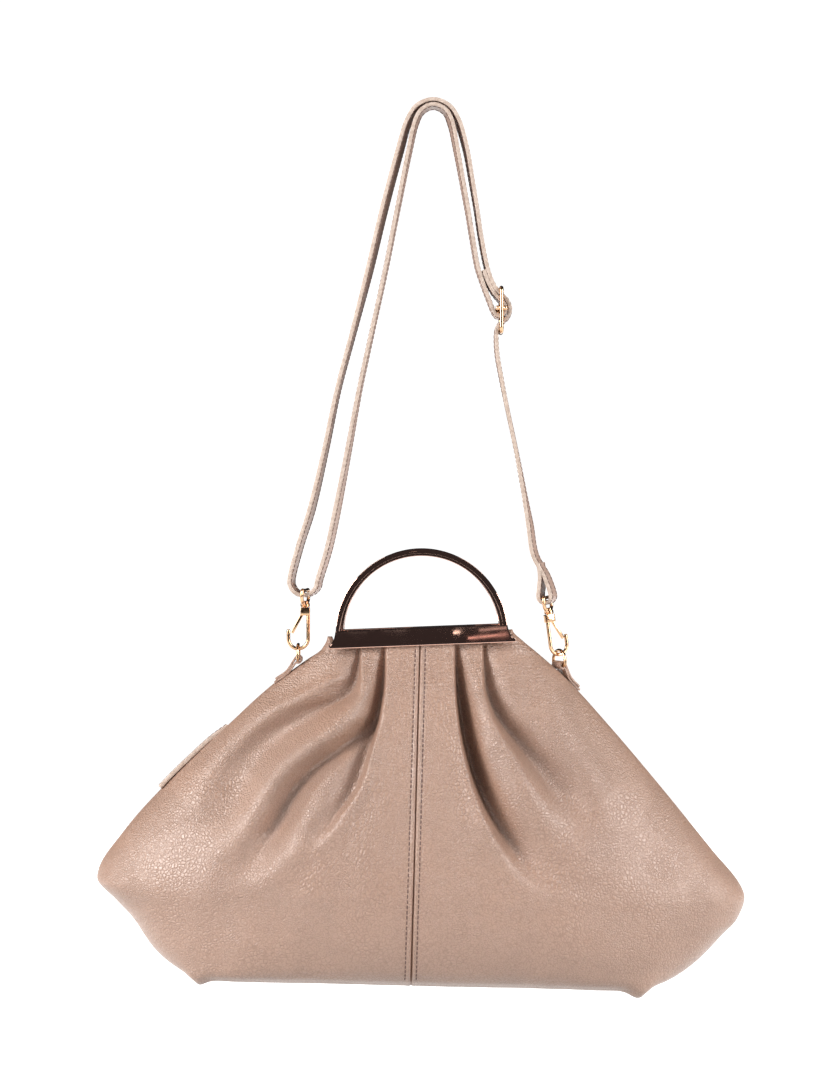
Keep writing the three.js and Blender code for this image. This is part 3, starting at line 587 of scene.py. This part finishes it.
def row_distances(z, side):
    """Distances from the seam of the points in each row: they follow the fold lines."""
    stops = [np.zeros_like(z), *(read(rows, "at", z) for rows in PLEATS[side]), half_width(z, side)]
    columns = [stops[0][:, None]]
    for i, count in enumerate(SHELL.columns):
        share = spaced(count, i == len(SHELL.columns) - 1)
        columns.append(stops[i][:, None] + (stops[i + 1] - stops[i])[:, None] * share)
    return np.concatenate(columns, axis=1)


def with_ears(points):
    """The sewn corners of the base pushed out."""
    for side, inward, push, reach in EARS:
        for face in (-1, 1):
            out = half_width(EAR_HEIGHT, side) - inward
            corner = body_points(np.array([EAR_HEIGHT]), side, out, face)[0]
            distance = np.linalg.norm(points - corner, axis=-1)
            points = points + hump(distance, reach)[..., None] * (np.array(push) * (1, face, 1))
    return points


def shell_rows(side, inset):
    """Rows of points from the front seam round the side to the back seam, then rings across the base, and
    last the base's middle line."""
    top, bottom = SECTIONS["z"][[0, -1]]
    z = top + (bottom - top) * np.linspace(0, 1, SHELL.rows) ** SHELL.rows_closer
    out = row_distances(z, side)
    front = body_points(z[:, None], side, out, -1, inset)
    back = body_points(z[:, None], side, out, 1, inset)[:, -2::-1]
    rows = np.concatenate([front, back], axis=1)
    edge = rows[-1]
    seam_x = edge[0, 0]
    rings = []
    for share in np.arange(1, SHELL.base_rings + 1) / SHELL.base_rings:
        ring = edge * (1, 1 - share, 1)
        ring[:, 0] = seam_x + (ring[:, 0] - seam_x) * (1 - SHELL.base_shrink * share)
        rings.append(ring)
    middle = rings.pop()[:out.shape[1]]
    return np.concatenate([rows, rings]), middle


def shell_faces(rows, width):
    """Faces of one skin, its open edge as a loop of vertex numbers, and its number of vertices."""
    number = np.arange(rows * width).reshape(rows, width)
    middle = rows * width + np.minimum(np.arange(width), width - 1 - np.arange(width))
    rim = np.concatenate([number[0], number[1:, -1], [rows * width], number[:0:-1, 0]])
    return skin([*number, middle], False), rim, rows * width + width // 2 + 1


def panel(side):
    """Half shell of the bag as one closed wall, and the material number of each face."""
    grids = [shell_rows(side, inset) for inset in (0.0, WALL)]
    faces, rim, count = shell_faces(*grids[0][0].shape[:2])
    skins = [np.concatenate([grid.reshape(-1, 3), middle]) for grid, middle in grids]
    points = np.concatenate([with_ears(places) for places in skins])
    outer = [f[::-1] for f in faces]
    inner = [[i + count for i in f] for f in faces]
    edge = grid_faces(rim, rim + count, True)
    return outward(points, outer + inner + edge), [0] * len(outer) + [1] * (len(inner) + len(edge))


def mark_grain(shell):
    """How strongly the grain shows, most on the slack leather round the folds and least by the seam, and the
    fine level wrinkles under the clamped mouth."""
    x, _, z = (np.array([v.co for v in shell.data.vertices]) / MM - MOUTH).T
    out = np.abs(x - read(SECTIONS, "seam", z))
    slack = hump(z - GRAIN.slack_at, GRAIN.slack_reach) * smoothstep(out, *GRAIN.beside)
    amounts = {
        "grain": GRAIN.least + (1 - GRAIN.least) * slack,
        "wrinkle": GRAIN.wrinkle * smoothstep(z, *GRAIN.wrinkle_at),
    }
    for name, values in amounts.items():
        shell.data.attributes.new(name, "FLOAT", "POINT").data.foreach_set("value", values.astype(np.float32))


# Stitches

def stitch_shape():
    """One stitch along X, bedded at its middle."""
    stations, size = np.array(STITCH).T
    centres = np.outer(stations * THREAD.long / 2, (1, 0, 0))
    section = arc(1, 0, 360, 6)[:-1] * (THREAD.wide, THREAD.high)
    return sweep(centres, (0, 1, 0), (0, 0, 1), section, scale=size)


def stitches_along(path, normals):
    """Stitches laid along a path at even spacing, as one shape."""
    lengths = np.concatenate([[0], np.cumsum(np.linalg.norm(np.diff(path, axis=0), axis=1))])
    places = np.arange(THREAD.pitch / 2, lengths[-1], THREAD.pitch)

    def at(rows, shift=0.0):
        return np.stack([np.interp(places + shift, lengths, column) for column in rows.T], axis=1)
    up = unit(at(normals))
    along = unit(at(path, THREAD.ahead) - at(path, -THREAD.ahead))
    across = unit(np.cross(up, along))
    points, faces = stitch_shape()
    placed = at(path)[:, None] + np.einsum("pk,kni->npi", points, np.stack([along, across, up]))
    numbered = [[i + n * len(points) for i in f] for n in range(len(places)) for f in faces]
    return placed.reshape(-1, 3), numbered


def seam_stitches():
    """The rows of stitches beside the centre seam, on the front and the back."""
    z = np.linspace(SEAM.first, SEAM.last, SEAM.points)
    shapes = []
    for face in (-1, 1):
        for side in (-1, 1):
            row = seam_row(z, side)
            path, outer, inner = (body_points(z, side, row + step * SEAM.beside, face) for step in (0, 1, -1))
            normals = unit(np.cross(np.gradient(path, axis=0), outer - inner))
            normals = normals * np.sign(normals[:, 1:2] * face)
            shapes.append(stitches_along(path + normals * THREAD.high / 2, normals))
    return shapes


# Bands: strap, tabs and zip end

def band_section(width, thick):
    """Outline of a flat band with squarish edges and a shallow dip under each row of stitches. The first
    points are the upper face, then one edge, the lower face and the other edge."""
    corner = BAND.corner * thick
    flat = width / 2 - corner
    across = np.linspace(flat, -flat, BAND.face_points)
    height = thick / 2 - BAND.dip * hump(np.abs(across) - (width / 2 - BAND.row), BAND.dip_reach)
    upper = np.stack([across, height], axis=1)
    angles = np.radians(np.linspace(90, -90, BAND.edge_points)[1:-1])
    edge = np.stack([
        -flat - corner * np.sqrt(np.abs(np.cos(angles))),
        thick / 2 * np.sign(np.sin(angles)) * np.sqrt(np.abs(np.sin(angles))),
    ], axis=1)
    return np.concatenate([upper, edge, -upper, -edge]), len(upper), len(edge)


def band_frames(route):
    """Centres, width directions and face directions along a route of places and turns."""
    centres = smooth_path([place for place, _ in route], BAND.steps)
    share = np.linspace(0, len(route) - 1, len(centres))
    turn = np.radians(np.interp(share, np.arange(len(route)), [t for _, t in route]))
    along = unit(np.gradient(centres, axis=0))
    across = np.stack([np.sin(turn), np.cos(turn), np.zeros_like(turn)], axis=1)
    across = unit(across - along * np.sum(along * across, axis=1, keepdims=True))
    return centres, across, np.cross(along, across)


def band(name, route, width, thick, materials):
    """A leather band along a route: its faces, its cut edges and its two ends in their own materials."""
    section, face_count, edge_count = band_section(width, thick)
    centres, across, up = band_frames(route)
    shape = sweep(centres, across, up, section)
    ring = ([0] * (face_count - 1) + [1] * (edge_count + 1)) * 2
    return build(name, [shape], materials, ring * (len(centres) - 1) + [2, 2], sharp=50)


def band_stitches(route, width, thick):
    """Rows of stitches along both edges of a band, on both its faces."""
    centres, across, up = band_frames(route)
    lift = thick / 2 - BAND.dip + THREAD.high / 2
    shapes = []
    for face in (-1, 1):
        for edge in (-1, 1):
            path = centres + across * edge * (width / 2 - BAND.row) + up * face * lift
            shapes.append(stitches_along(path, face * up))
    return shapes


# Places on the shoulders

def crest(z, side):
    """The shoulder's crest at a section, with its direction down the shoulder and its outward normal."""
    def at(height):
        return body_points(np.array([float(height)]), side, half_width(float(height), side), -1)[0]
    down = unit(at(z - 1) - at(z + 1))
    return at(z) * (1, 0, 1), down, np.array([-side * down[2], 0, side * down[0]])


def fitting_places(fit):
    """Ring bar, swivel collar, hook rotation and eye bar of one side, worked up from the shoulder."""
    place, _, normal = crest(fit.crest, fit.side)
    ring_bar = place + normal * TAB.lift
    bow_inside = HOOK.bow_drop + HOOK.bow - HOOK.wire - RING.wire - 2 * GAP
    rotation = turned(fit.hook_tilt, fit.hook_turn)
    bow = rotation @ np.array([HOOK.spine - HOOK.bow, 0, -bow_inside])
    ring_bar[1] = bow[1]
    collar = ring_bar + (0, 0, RING.leg + RING.half) - bow
    eye_bar = turned(fit.hook_tilt, 0) @ np.array([0, 0, EYE.bar]) + collar
    return Sizes(ring_bar=ring_bar, collar=collar, rotation=rotation, eye_bar=eye_bar)


def ring_tab_route(fit):
    """Two plies lying on the shoulder and a loop round the ring's bar."""
    place, down, normal = crest(fit.crest, fit.side)
    ring_bar = fitting_places(fit).ring_bar
    turn = 180 - fit.hook_turn if fit.hook_turn > 90 else fit.hook_turn
    angle = math.radians(turn)
    out = np.array([fit.side * math.cos(angle), -fit.side * math.sin(angle), 0])
    lie = out * abs(down[0]) + (0, 0, down[2])
    sewn = np.array([place[0], ring_bar[1], place[2]])
    lower = TAB.thick / 2 - TAB.sunk
    upper = lower + TAB.thick
    loop = [ring_bar + out * x + (0, 0, z) for x, z in arc(TAB.loop, -60, -290, 7)]
    places = [
        sewn + lie * TAB.long + normal * lower, sewn + lie * TAB.long / 2 + normal * lower, *loop,
        sewn + lie * TAB.long / 2 + normal * upper, sewn + lie * (TAB.long - TAB.shorter) + normal * upper,
    ]
    return [(p, turn) for p in places]


def zip_route():
    route = []
    for z, lift, back in ZIP_LINE:
        place, _, normal = crest(z, LEFT.side)
        route.append((place + normal * (lift - ZIP_END.sunk) + (0, back, 0), 0))
    return route


# Strap

def eye_bend(fit):
    """Bend of the strap under an eye's bar, and the function that places points beside that bar."""
    eye_bar = fitting_places(fit).eye_bar
    rise = fit.strap_bend - (EYE.wire + 2 * GAP + STRAP.thick / 2)
    lean = math.radians(fit.hook_tilt)

    def beside(u, v):
        x = eye_bar[0] + u * math.cos(lean) - v * math.sin(lean)
        z = eye_bar[2] + u * math.sin(lean) + v * math.cos(lean)
        return np.array([x, 0, z]), fit.strap_turn
    return [beside(u, v + rise) for u, v in arc(fit.strap_bend, 180, 360, 8)], beside


def strap_route():
    """The whole strap: from its sewn right end up through the slider, over the top, round the left eye and
    back over the top to the slider's middle bar."""
    ply = (STRAP.thick + GAP) / 2
    middle = STRAP.tail * STRAP.tail_middle
    right_bend, beside = eye_bend(RIGHT)
    left_bend, _ = eye_bend(LEFT)

    def laid(rows):
        return [(np.array([x, 0, z]), turn) for x, z, turn in rows]
    return [
        beside(-ply, STRAP.tail), beside(-ply, middle), *right_bend, beside(ply, middle),
        *laid(RIGHT_STRAND + THROUGH_SLIDER + OUTER_LAYER), *left_bend,
        *laid(INNER_LAYER + SEWN_BACK_END),
    ]


# Metal

# Lays the axis of a turned shape along Y
SIDEWAYS = np.array(Matrix.Rotation(math.radians(90), 3, "X"))


def handle_shapes():
    """One handle in its own frame: the arch and the slotted clamp bar."""
    middle = HANDLE.arch_radius - HANDLE.arch_thick / 2
    centres = np.array([(x, 0, z + HANDLE.arch_centre) for x, z in arc(middle, 0, 180, 96)])
    up = unit(centres - (0, 0, HANDLE.arch_centre))
    section = rounded_box(HANDLE.arch_depth / 2, HANDLE.arch_thick / 2, HANDLE.arch_bevel, 5)
    return [sweep(centres, (0, 1, 0), up, section), bevelled(clamp_bar(), HANDLE.bevel)]


def clamp_bar():
    """The bar with flared ends and the slot that grips the leather; the mouth side is cut short."""
    t = np.linspace(0, 1, 8)
    weights = np.stack([(1 - t) ** 2, 2 * t * (1 - t), t ** 2])
    heights, ends = np.array([HANDLE.flare_heights, HANDLE.flare_ends]) @ weights
    zs = sorted({0.0, HANDLE.slot_deep, *heights.tolist()})
    ys = [-HANDLE.depth / 2, -HANDLE.slot / 2, HANDLE.slot / 2, HANDLE.depth / 2]
    xs = [-1, -HANDLE.inner_wall, HANDLE.inner_wall, 1]
    roof = zs.index(HANDLE.slot_deep)

    def filled(i, j, k):
        return k >= roof or j == 0 or (j == 2 and i == 1)

    def place(x, y, z):
        return (x * np.interp(z, heights, ends) if abs(x) == 1 else x, y, z)
    return cells(xs, ys, zs, filled, place)


def eye_shapes():
    outline = [(0, y, z) for y, z in EYE_SIDE] + [(0, -y, z) for y, z in EYE_SIDE[::-1]]
    ring = tube(smooth_path(outline, 5, closed=True), EYE.wire, (1, 0, 0), closed=True)
    high = EYE.collar_half
    collar = lathe([
        (EYE.bore, -high), (EYE.collar - EYE.soft, -high), (EYE.collar, EYE.soft - high),
        (EYE.collar, high - EYE.soft), (EYE.collar - EYE.soft, high), (EYE.bore, high),
    ])
    return [ring, collar]


def hook_shapes():
    """Wire bow, slotted block, swivel post with its head, and the gate's pin."""
    top = -EYE.collar_half - GAP
    bend = arc(HOOK.bow, 0, -180, 28) + (HOOK.spine - HOOK.bow, -HOOK.bow_drop)
    path = [(HOOK.spine, 0, top - HOOK.spine_in), *((x, 0, z) for x, z in bend)]
    path.append((HOOK.spine - 2 * HOOK.bow, 0, -HOOK.nose_top))
    half, deep = HOOK.block / 2, HOOK.block_deep / 2
    xs = (-half, HOOK.slot_end, half)
    ys = (-deep, -HOOK.slot / 2, HOOK.slot / 2, deep)
    zs = (-HOOK.block_foot, top - HOOK.roof, top)
    fork = cells(xs, ys, zs, lambda i, j, k: k == 1 or i == 1 or j != 1)
    low, high = EYE.collar_half + GAP, EYE.collar_half + GAP + HOOK.head_tall
    post = lathe([
        (0, top - HOOK.sunk), (HOOK.post, top - HOOK.sunk), (HOOK.post, low), (HOOK.head, low),
        (HOOK.head, high - HOOK.soft), (HOOK.head - HOOK.soft, high), (0, high),
    ])
    end = deep + HOOK.pin_out
    pin = lathe([(0, -end), (HOOK.pin, -end), (HOOK.pin, end), (0, end)])
    return [
        tube(path, HOOK.wire, (0, 1, 0), domed=True), bevelled(fork, HOOK.bevel), post,
        moved(pin, SIDEWAYS, GATE_PIVOT),
    ]


def gate_shapes():
    reach = GATE_PIVOT - GATE_TIP
    lean = math.atan2(reach[0], reach[2])
    half, deep = GATE.thick / 2, GATE.wide / 2
    lever = cells((-half, half), (-deep, deep), (-np.linalg.norm(reach), -GATE.knuckle), lambda *cell: True)
    lever = moved(bevelled(lever, GATE.bevel), np.array(Matrix.Rotation(lean, 3, "Y")), GATE_PIVOT)
    knuckle = lathe([(GATE.bore, -deep), (GATE.knuckle, -deep), (GATE.knuckle, deep), (GATE.bore, deep)])
    return [lever, moved(knuckle, SIDEWAYS, GATE_PIVOT)]


def ring_shapes():
    bow = arc(RING.half, 0, 180, 28) + (0, RING.leg)
    foot = [(-RING.half, RING.corner), (RING.corner - RING.half, 0), (RING.half - RING.corner, 0),
            (RING.half, RING.corner)]
    return [tube([(0, y, z) for y, z in [*bow, *foot]], RING.wire, (1, 0, 0), closed=True)]


def slider_shapes():
    middle, half_tall = (SLIDER.top + SLIDER.foot) / 2, (SLIDER.top - SLIDER.foot) / 2
    outline = rounded_box(SLIDER.half, half_tall, SLIDER.corner, 8) + (0, middle)
    wire = tube([(SLIDER.x, y, z) for y, z in outline], SLIDER.wire, (1, 0, 0), closed=True)
    bar = [(SLIDER.x, side * SLIDER.half, SLIDER.bar_z) for side in (-1, 1)]
    bead = lathe(arc(SLIDER.bead, -90, 90, 10))
    places = [np.add(end, (side * SLIDER.bead_at, 0, 0)) for end in bar for side in (-1, 1)]
    return [wire, tube(bar, SLIDER.bar, (1, 0, 0)), *(moved(bead, np.eye(3), place) for place in places)]


# Materials

class Surface:
    """A Principled material and the nodes that feed it."""

    def __init__(self, name, **sockets):
        self.material = bpy.data.materials.new(name)
        self.material.use_nodes = True
        self.tree = self.material.node_tree
        self.shader = self.tree.nodes["Principled BSDF"]
        for socket, value in sockets.items():
            self.shader.inputs[socket.replace("_", " ")].default_value = value

    def add(self, kind, inputs=None, **settings):
        node = self.tree.nodes.new(kind)
        for key, value in settings.items():
            setattr(node, key, value)
        for key, value in (inputs or {}).items():
            if isinstance(value, bpy.types.NodeSocket):
                self.tree.links.new(value, node.inputs[key])
            else:
                node.inputs[key].default_value = value
        return node

    def feed(self, socket, value):
        self.tree.links.new(value, self.shader.inputs[socket])

    def where(self):
        return self.add("ShaderNodeTexCoord").outputs["Object"]

    def attribute(self, name):
        return self.add("ShaderNodeAttribute", attribute_name=name).outputs["Fac"]

    def noise(self, where, scale, detail=2.0, output="Fac"):
        inputs = {"Vector": where, "Scale": scale, "Detail": detail}
        return self.add("ShaderNodeTexNoise", inputs).outputs[output]

    def math(self, operation, a, b):
        return self.add("ShaderNodeMath", {0: a, 1: b}, operation=operation).outputs[0]

    def vector(self, operation, a, b):
        return self.add("ShaderNodeVectorMath", {0: a, 1: b}, operation=operation).outputs[0]

    def remap(self, value, low, high, to_low, to_high):
        inputs = {"Value": value, "From Min": low, "From Max": high, "To Min": to_low, "To Max": to_high}
        return self.add("ShaderNodeMapRange", inputs, interpolation_type="SMOOTHSTEP").outputs[0]

    def mix(self, share, a, b):
        return self.add("ShaderNodeMix", {0: share, 6: a, 7: b}, data_type="RGBA").outputs[2]

    def bump(self, height, strength, distance):
        inputs = {"Height": height, "Strength": strength, "Distance": distance}
        return self.add("ShaderNodeBump", inputs).outputs["Normal"]

    def finish(self, share, colour, other, height, strength, distance):
        """The material with two colours mixed and a fine relief."""
        self.feed("Base Color", self.mix(share, colour, other))
        self.feed("Normal", self.bump(height, strength, distance))
        return self.material


def shade(r, g, b):
    """A linear colour from screen values of 0 to 255."""
    linear = [((c / 255 + 0.055) / 1.055) ** 2.4 for c in (r, g, b)]
    return (*linear, 1.0)


def faded(colour, share):
    """A colour times one share, or times a share for each channel."""
    return tuple(np.multiply(colour, share).tolist())


def pebbled_leather(name, colour, pebble, strength, marked):
    """Soft grained leather: raised pebbles of two sizes, with painted shade in the creases between them."""
    s = Surface(name, IOR=1.5, Specular_IOR_Level=0.9, Coat_Weight=1.0, Coat_Roughness=0.45)
    where = s.where()
    drift = s.vector("SUBTRACT", s.noise(where, 330.0, output="Color"), (0.5, 0.5, 0.5))
    warped = s.vector("ADD", where, s.vector("MULTIPLY", drift, (PEBBLE.drift,) * 3))

    def pebbles(size):
        inputs = {"Vector": warped, "Scale": 1 / (size * MM)}
        edge = s.add("ShaderNodeTexVoronoi", inputs, feature="DISTANCE_TO_EDGE").outputs["Distance"]
        slope = s.math("SUBTRACT", 1.0, s.math("MINIMUM", s.math("MULTIPLY", edge, PEBBLE.slope), 1.0))
        return s.math("SUBTRACT", 1.0, s.math("MULTIPLY", slope, slope))
    fine, coarse = pebbles(pebble), pebbles(pebble * PEBBLE.coarse)
    patch = s.remap(s.noise(where, 26.0), 0.42, 0.6, 0.15, 0.85)
    grain = s.add("ShaderNodeMix", {0: patch, 2: fine, 3: coarse}).outputs[0]
    height = s.math("ADD", grain, s.math("MULTIPLY", s.noise(where, 2600.0, 3.0), PEBBLE.pores))
    if marked:
        height = s.math("MULTIPLY", height, s.attribute("grain"))
        level = s.noise(s.vector("MULTIPLY", warped, PEBBLE.wrinkles), 1.0)
        height = s.math("ADD", height, s.math("MULTIPLY", level, s.attribute("wrinkle")))
    tint = s.mix(s.remap(s.noise(where, 7.0), 0.35, 0.65, 0.0, 1.0), colour, faded(colour, 0.93))
    # Painted shade: the colour darkens in the creases between the pebbles
    s.feed("Base Color", s.mix(s.remap(grain, 0.0, 0.65, 0.7, 0.0), tint, faded(colour, PEBBLE.crease)))
    s.feed("Roughness", s.remap(grain, 0.0, 1.0, 0.56, 0.36))
    s.feed("Normal", s.bump(height, strength, PEBBLE.height))
    s.feed("Coat Normal", s.bump(height, strength * PEBBLE.coat, PEBBLE.height))
    return s.material


def suede(name, colour):
    """The rough flesh side of the leather."""
    s = Surface(name, Roughness=0.95)
    fibres = s.noise(s.where(), 900.0, 6.0)
    return s.finish(fibres, colour, faded(colour, 0.7), fibres, 0.4, 0.0004)


def cut_edge(name, colour, dark):
    """Cut edge of leather mottled in two tones: pale as painted light on long edges, dark for raw ends."""
    s = Surface(name, Roughness=0.6)
    where = s.where()
    mottled = s.remap(s.noise(where, 420.0, 4.0), 0.35, 0.7, 0.0, 1.0)
    return s.finish(mottled, colour, dark, s.noise(where, 1500.0, 3.0), 0.25, 0.0003)


def thread(name, colour):
    s = Surface(name, Roughness=0.75)
    inputs = {"Vector": s.where(), "Scale": 900.0, "Distortion": 1.5}
    twist = s.add("ShaderNodeTexWave", inputs).outputs["Fac"]
    return s.finish(twist, colour, faded(colour, 0.6), twist, 0.4, 0.0002)


def plated(name, colour, low, high):
    """Polished plate with a little uneven haze; low and high are its roughness."""
    s = Surface(name, Metallic=1.0)
    haze = s.noise(s.where(), 60.0, 5.0)
    s.feed("Base Color", s.mix(s.remap(haze, 0.4, 0.7, 0.0, 1.0), colour, faded(colour, 0.94)))
    s.feed("Roughness", s.remap(haze, 0.35, 0.7, low, high))
    return s.material


LEATHER_COLOUR = shade(177, 138, 115)
STRAP_COLOUR = shade(184, 153, 136)
SHELL_LEATHER = pebbled_leather("shell_leather", LEATHER_COLOUR, 1.7, 0.9, True)
TAB_LEATHER = pebbled_leather("tab_leather", LEATHER_COLOUR, 1.8, 0.5, False)
STRAP_LEATHER = pebbled_leather("strap_leather", STRAP_COLOUR, 1.7, 0.5, False)
FLESH_SIDE = suede("flesh_side", shade(150, 122, 106))
# Painted light: the long cut edges are a paler, lit copy of the strap's leather
LIT_EDGE = cut_edge("lit_edge", shade(220, 199, 184), shade(196, 172, 155))
RAW_END = cut_edge("raw_end", shade(112, 82, 68), shade(74, 50, 42))
SEAM_THREAD = thread("seam_thread", shade(122, 94, 84))
ROSE_PLATE = plated("rose_plate", shade(232, 190, 172), 0.012, 0.035)
GOLD_PLATE = plated("gold_plate", shade(226, 186, 146), 0.1, 0.2)


# Pieces

def own(piece, body, slot=None, *nodes):
    """The piece rides on a body and stands for some nodes, which it hides; slot is not used."""
    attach(piece, body)
    if nodes:
        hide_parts(*nodes)


def make_shell():
    for side, name in ((-1, "left_panel"), (1, "right_panel")):
        shape, indices = panel(side)
        shell = build(f"{name}_leather", [shape], [SHELL_LEATHER, FLESH_SIDE], indices, sharp=85)
        mark_grain(shell)
        own(shell, "bag", "leather", name)
    own(build("seam_stitches", seam_stitches(), [SEAM_THREAD]), "bag")


def make_handles():
    for name, face in (("front_handle", -1), ("back_handle", 1)):
        rotation = turned(HANDLE.tilt, 0 if face < 0 else 180)
        offset = MOUTH + (0, face * HANDLE.apart / 2, 0)
        shapes = [moved(shape, rotation, offset) for shape in handle_shapes()]
        own(build(f"{name}_plate", shapes, [ROSE_PLATE], sharp=10), "bag", "rose_metal", name)


def make_fitting(fit):
    places = fitting_places(fit)
    name = fit.name
    tab = band(f"{name}_ring_tab_leather", ring_tab_route(fit), TAB.width, TAB.thick,
               [TAB_LEATHER, TAB_LEATHER, RAW_END])
    own(tab, "bag", "leather", f"{name}_ring_tab")
    metal = (
        ("d_ring", ring_shapes(), turned(0, fit.hook_turn), places.ring_bar, "bag"),
        ("hook_eye", eye_shapes(), turned(fit.hook_tilt, -fit.strap_turn), places.collar, "bag"),
        ("hook", hook_shapes(), places.rotation, places.collar, f"{name}_hook"),
        ("hook_gate", gate_shapes(), places.rotation, places.collar, f"{name}_gate"),
    )
    for part, shapes, rotation, offset, body in metal:
        placed = [moved(shape, rotation, offset) for shape in shapes]
        piece = build(f"{name}_{part}_plate", placed, [GOLD_PLATE])
        own(piece, body, "gold_metal", f"{name}_{part}")


def make_sewn_band(name, stitches, slot, node, route, size, leather):
    """A leather band and its rows of stitches."""
    strip = band(name, route, size.width, size.thick, [leather, LIT_EDGE, RAW_END])
    own(strip, "bag", slot, node)
    own(build(stitches, band_stitches(route, size.width, size.thick), [SEAM_THREAD]), "bag")


def make_strap():
    make_sewn_band("shoulder_strap_leather", "strap_stitches", "strap_leather", "shoulder_strap",
                   strap_route(), STRAP, STRAP_LEATHER)
    slider = build("strap_slider_plate", slider_shapes(), [GOLD_PLATE])
    own(slider, "bag", "gold_metal", "strap_slider")


def make_zip_end():
    make_sewn_band("zip_end_leather", "zip_end_stitches", "leather", "zip_end_tab",
                   zip_route(), ZIP_END, TAB_LEATHER)


# Stage

def make_cove():
    """A pale studio floor that curves up into a wall all round, seen by the camera and by mirrors only."""
    bend = arc(COVE.bend, -90, 0, 12) + (COVE.flat, FLOOR + COVE.bend)
    wall = COVE.flat + COVE.bend
    profile = [(0.0, FLOOR), (1.0, FLOOR), *bend, (wall, COVE.wall), (0.0, COVE.peak)]
    white = Surface("studio_white", Roughness=1.0, Base_Color=(0.3, 0.3, 0.3, 1),
                    Emission_Color=(1, 1, 1, 1), Emission_Strength=1.0)
    cove = build("studio_cove", [lathe(np.array(profile) / MM, 96)], [white.material], sharp=80)
    cove.visible_diffuse = False
    cove.visible_shadow = False


def rectangle(place, size, tilt=0):
    """An upright rectangle across the view, from its middle and its size in metres."""
    turn = Matrix.Rotation(math.radians(-tilt), 3, "Y")
    corners = [Vector(place) + turn @ Vector((u * size[0] / 2, 0, v * size[1] / 2))
               for u, v in ((-1, -1), (1, -1), (1, 1), (-1, 1))]
    return np.array(corners) / MM, [[0, 1, 2, 3]]


def show_to_mirrors(name, shapes, surface):
    """A piece of the stage which only mirrors see."""
    piece = build(name, shapes, [surface.material])
    piece.visible_camera = False
    piece.visible_diffuse = False
    piece.visible_shadow = False


def make_dark_room():
    """A dark front wall and a dome with a small hole at its top, so that the plate reflects an unlit room."""
    dome = arc(ROOM.dome, 0, 90, 16) + (ROOM.dome_hole, ROOM.dome_low)
    profile = np.concatenate([dome, dome[::-1] + (0, ROOM.dome_thick)]) / MM
    black = Surface("room_black", Roughness=1.0, Base_Color=(0.027, 0.022, 0.025, 1))
    show_to_mirrors("dark_room", [rectangle(ROOM.wall, ROOM.size), lathe(profile, 64)], black)


def make_glints():
    """Small lit things just before the dark room's front wall."""
    for n, (x, z, long, tall, tilt, colour, strength) in enumerate(GLINTS):
        lit = Surface(f"glint_{n}", Roughness=1.0, Emission_Color=(*colour, 1), Emission_Strength=strength)
        show_to_mirrors(f"glint_{n}", [rectangle((x, ROOM.glints_at, z), (long, tall), tilt)], lit)


def make_light(name, place, size, watts, left_out):
    lamp = bpy.data.lights.new(name, "AREA")
    lamp.shape = "RECTANGLE"
    lamp.size, lamp.size_y = size
    lamp.energy = watts
    light = bpy.data.objects.new(name, lamp)
    light.location = place
    light.rotation_euler = (Vector(LIT_AT) - Vector(place)).to_track_quat("-Z", "Y").to_euler()
    light.visible_glossy = left_out != "glossy"
    light.visible_diffuse = left_out != "diffuse"
    bpy.context.scene.collection.objects.link(light)


def make_stage():
    make_cove()
    make_dark_room()
    make_glints()
    for light in LIGHTS:
        make_light(*light)
    world = bpy.data.worlds.new("soft_room")
    world.use_nodes = True
    background = world.node_tree.nodes["Background"]
    background.inputs["Color"].default_value = (1, 1, 1, 1)
    background.inputs["Strength"].default_value = WORLD_LIGHT
    bpy.context.scene.world = world
    bpy.context.scene.view_settings.view_transform = "Standard"


def make_camera():
    """Level, facing the front, with the photograph's frame at the bag's middle plane."""
    lens = bpy.data.cameras.new("camera")
    half_height = PHOTO_HEIGHT * PHOTO_MM_PER_PIXEL * MM / 2
    lens.sensor_width = 36
    lens.lens = lens.sensor_width / 2 / (half_height / -CAMERA_AT.y)
    camera = bpy.data.objects.new("camera", lens)
    camera.location = CAMERA_AT
    camera.rotation_euler = (math.radians(90), 0, 0)
    bpy.context.scene.collection.objects.link(camera)
    bpy.context.scene.camera = camera


make_camera()
make_shell()
make_handles()
make_fitting(LEFT)
make_fitting(RIGHT)
make_strap()
make_zip_end()
make_stage()
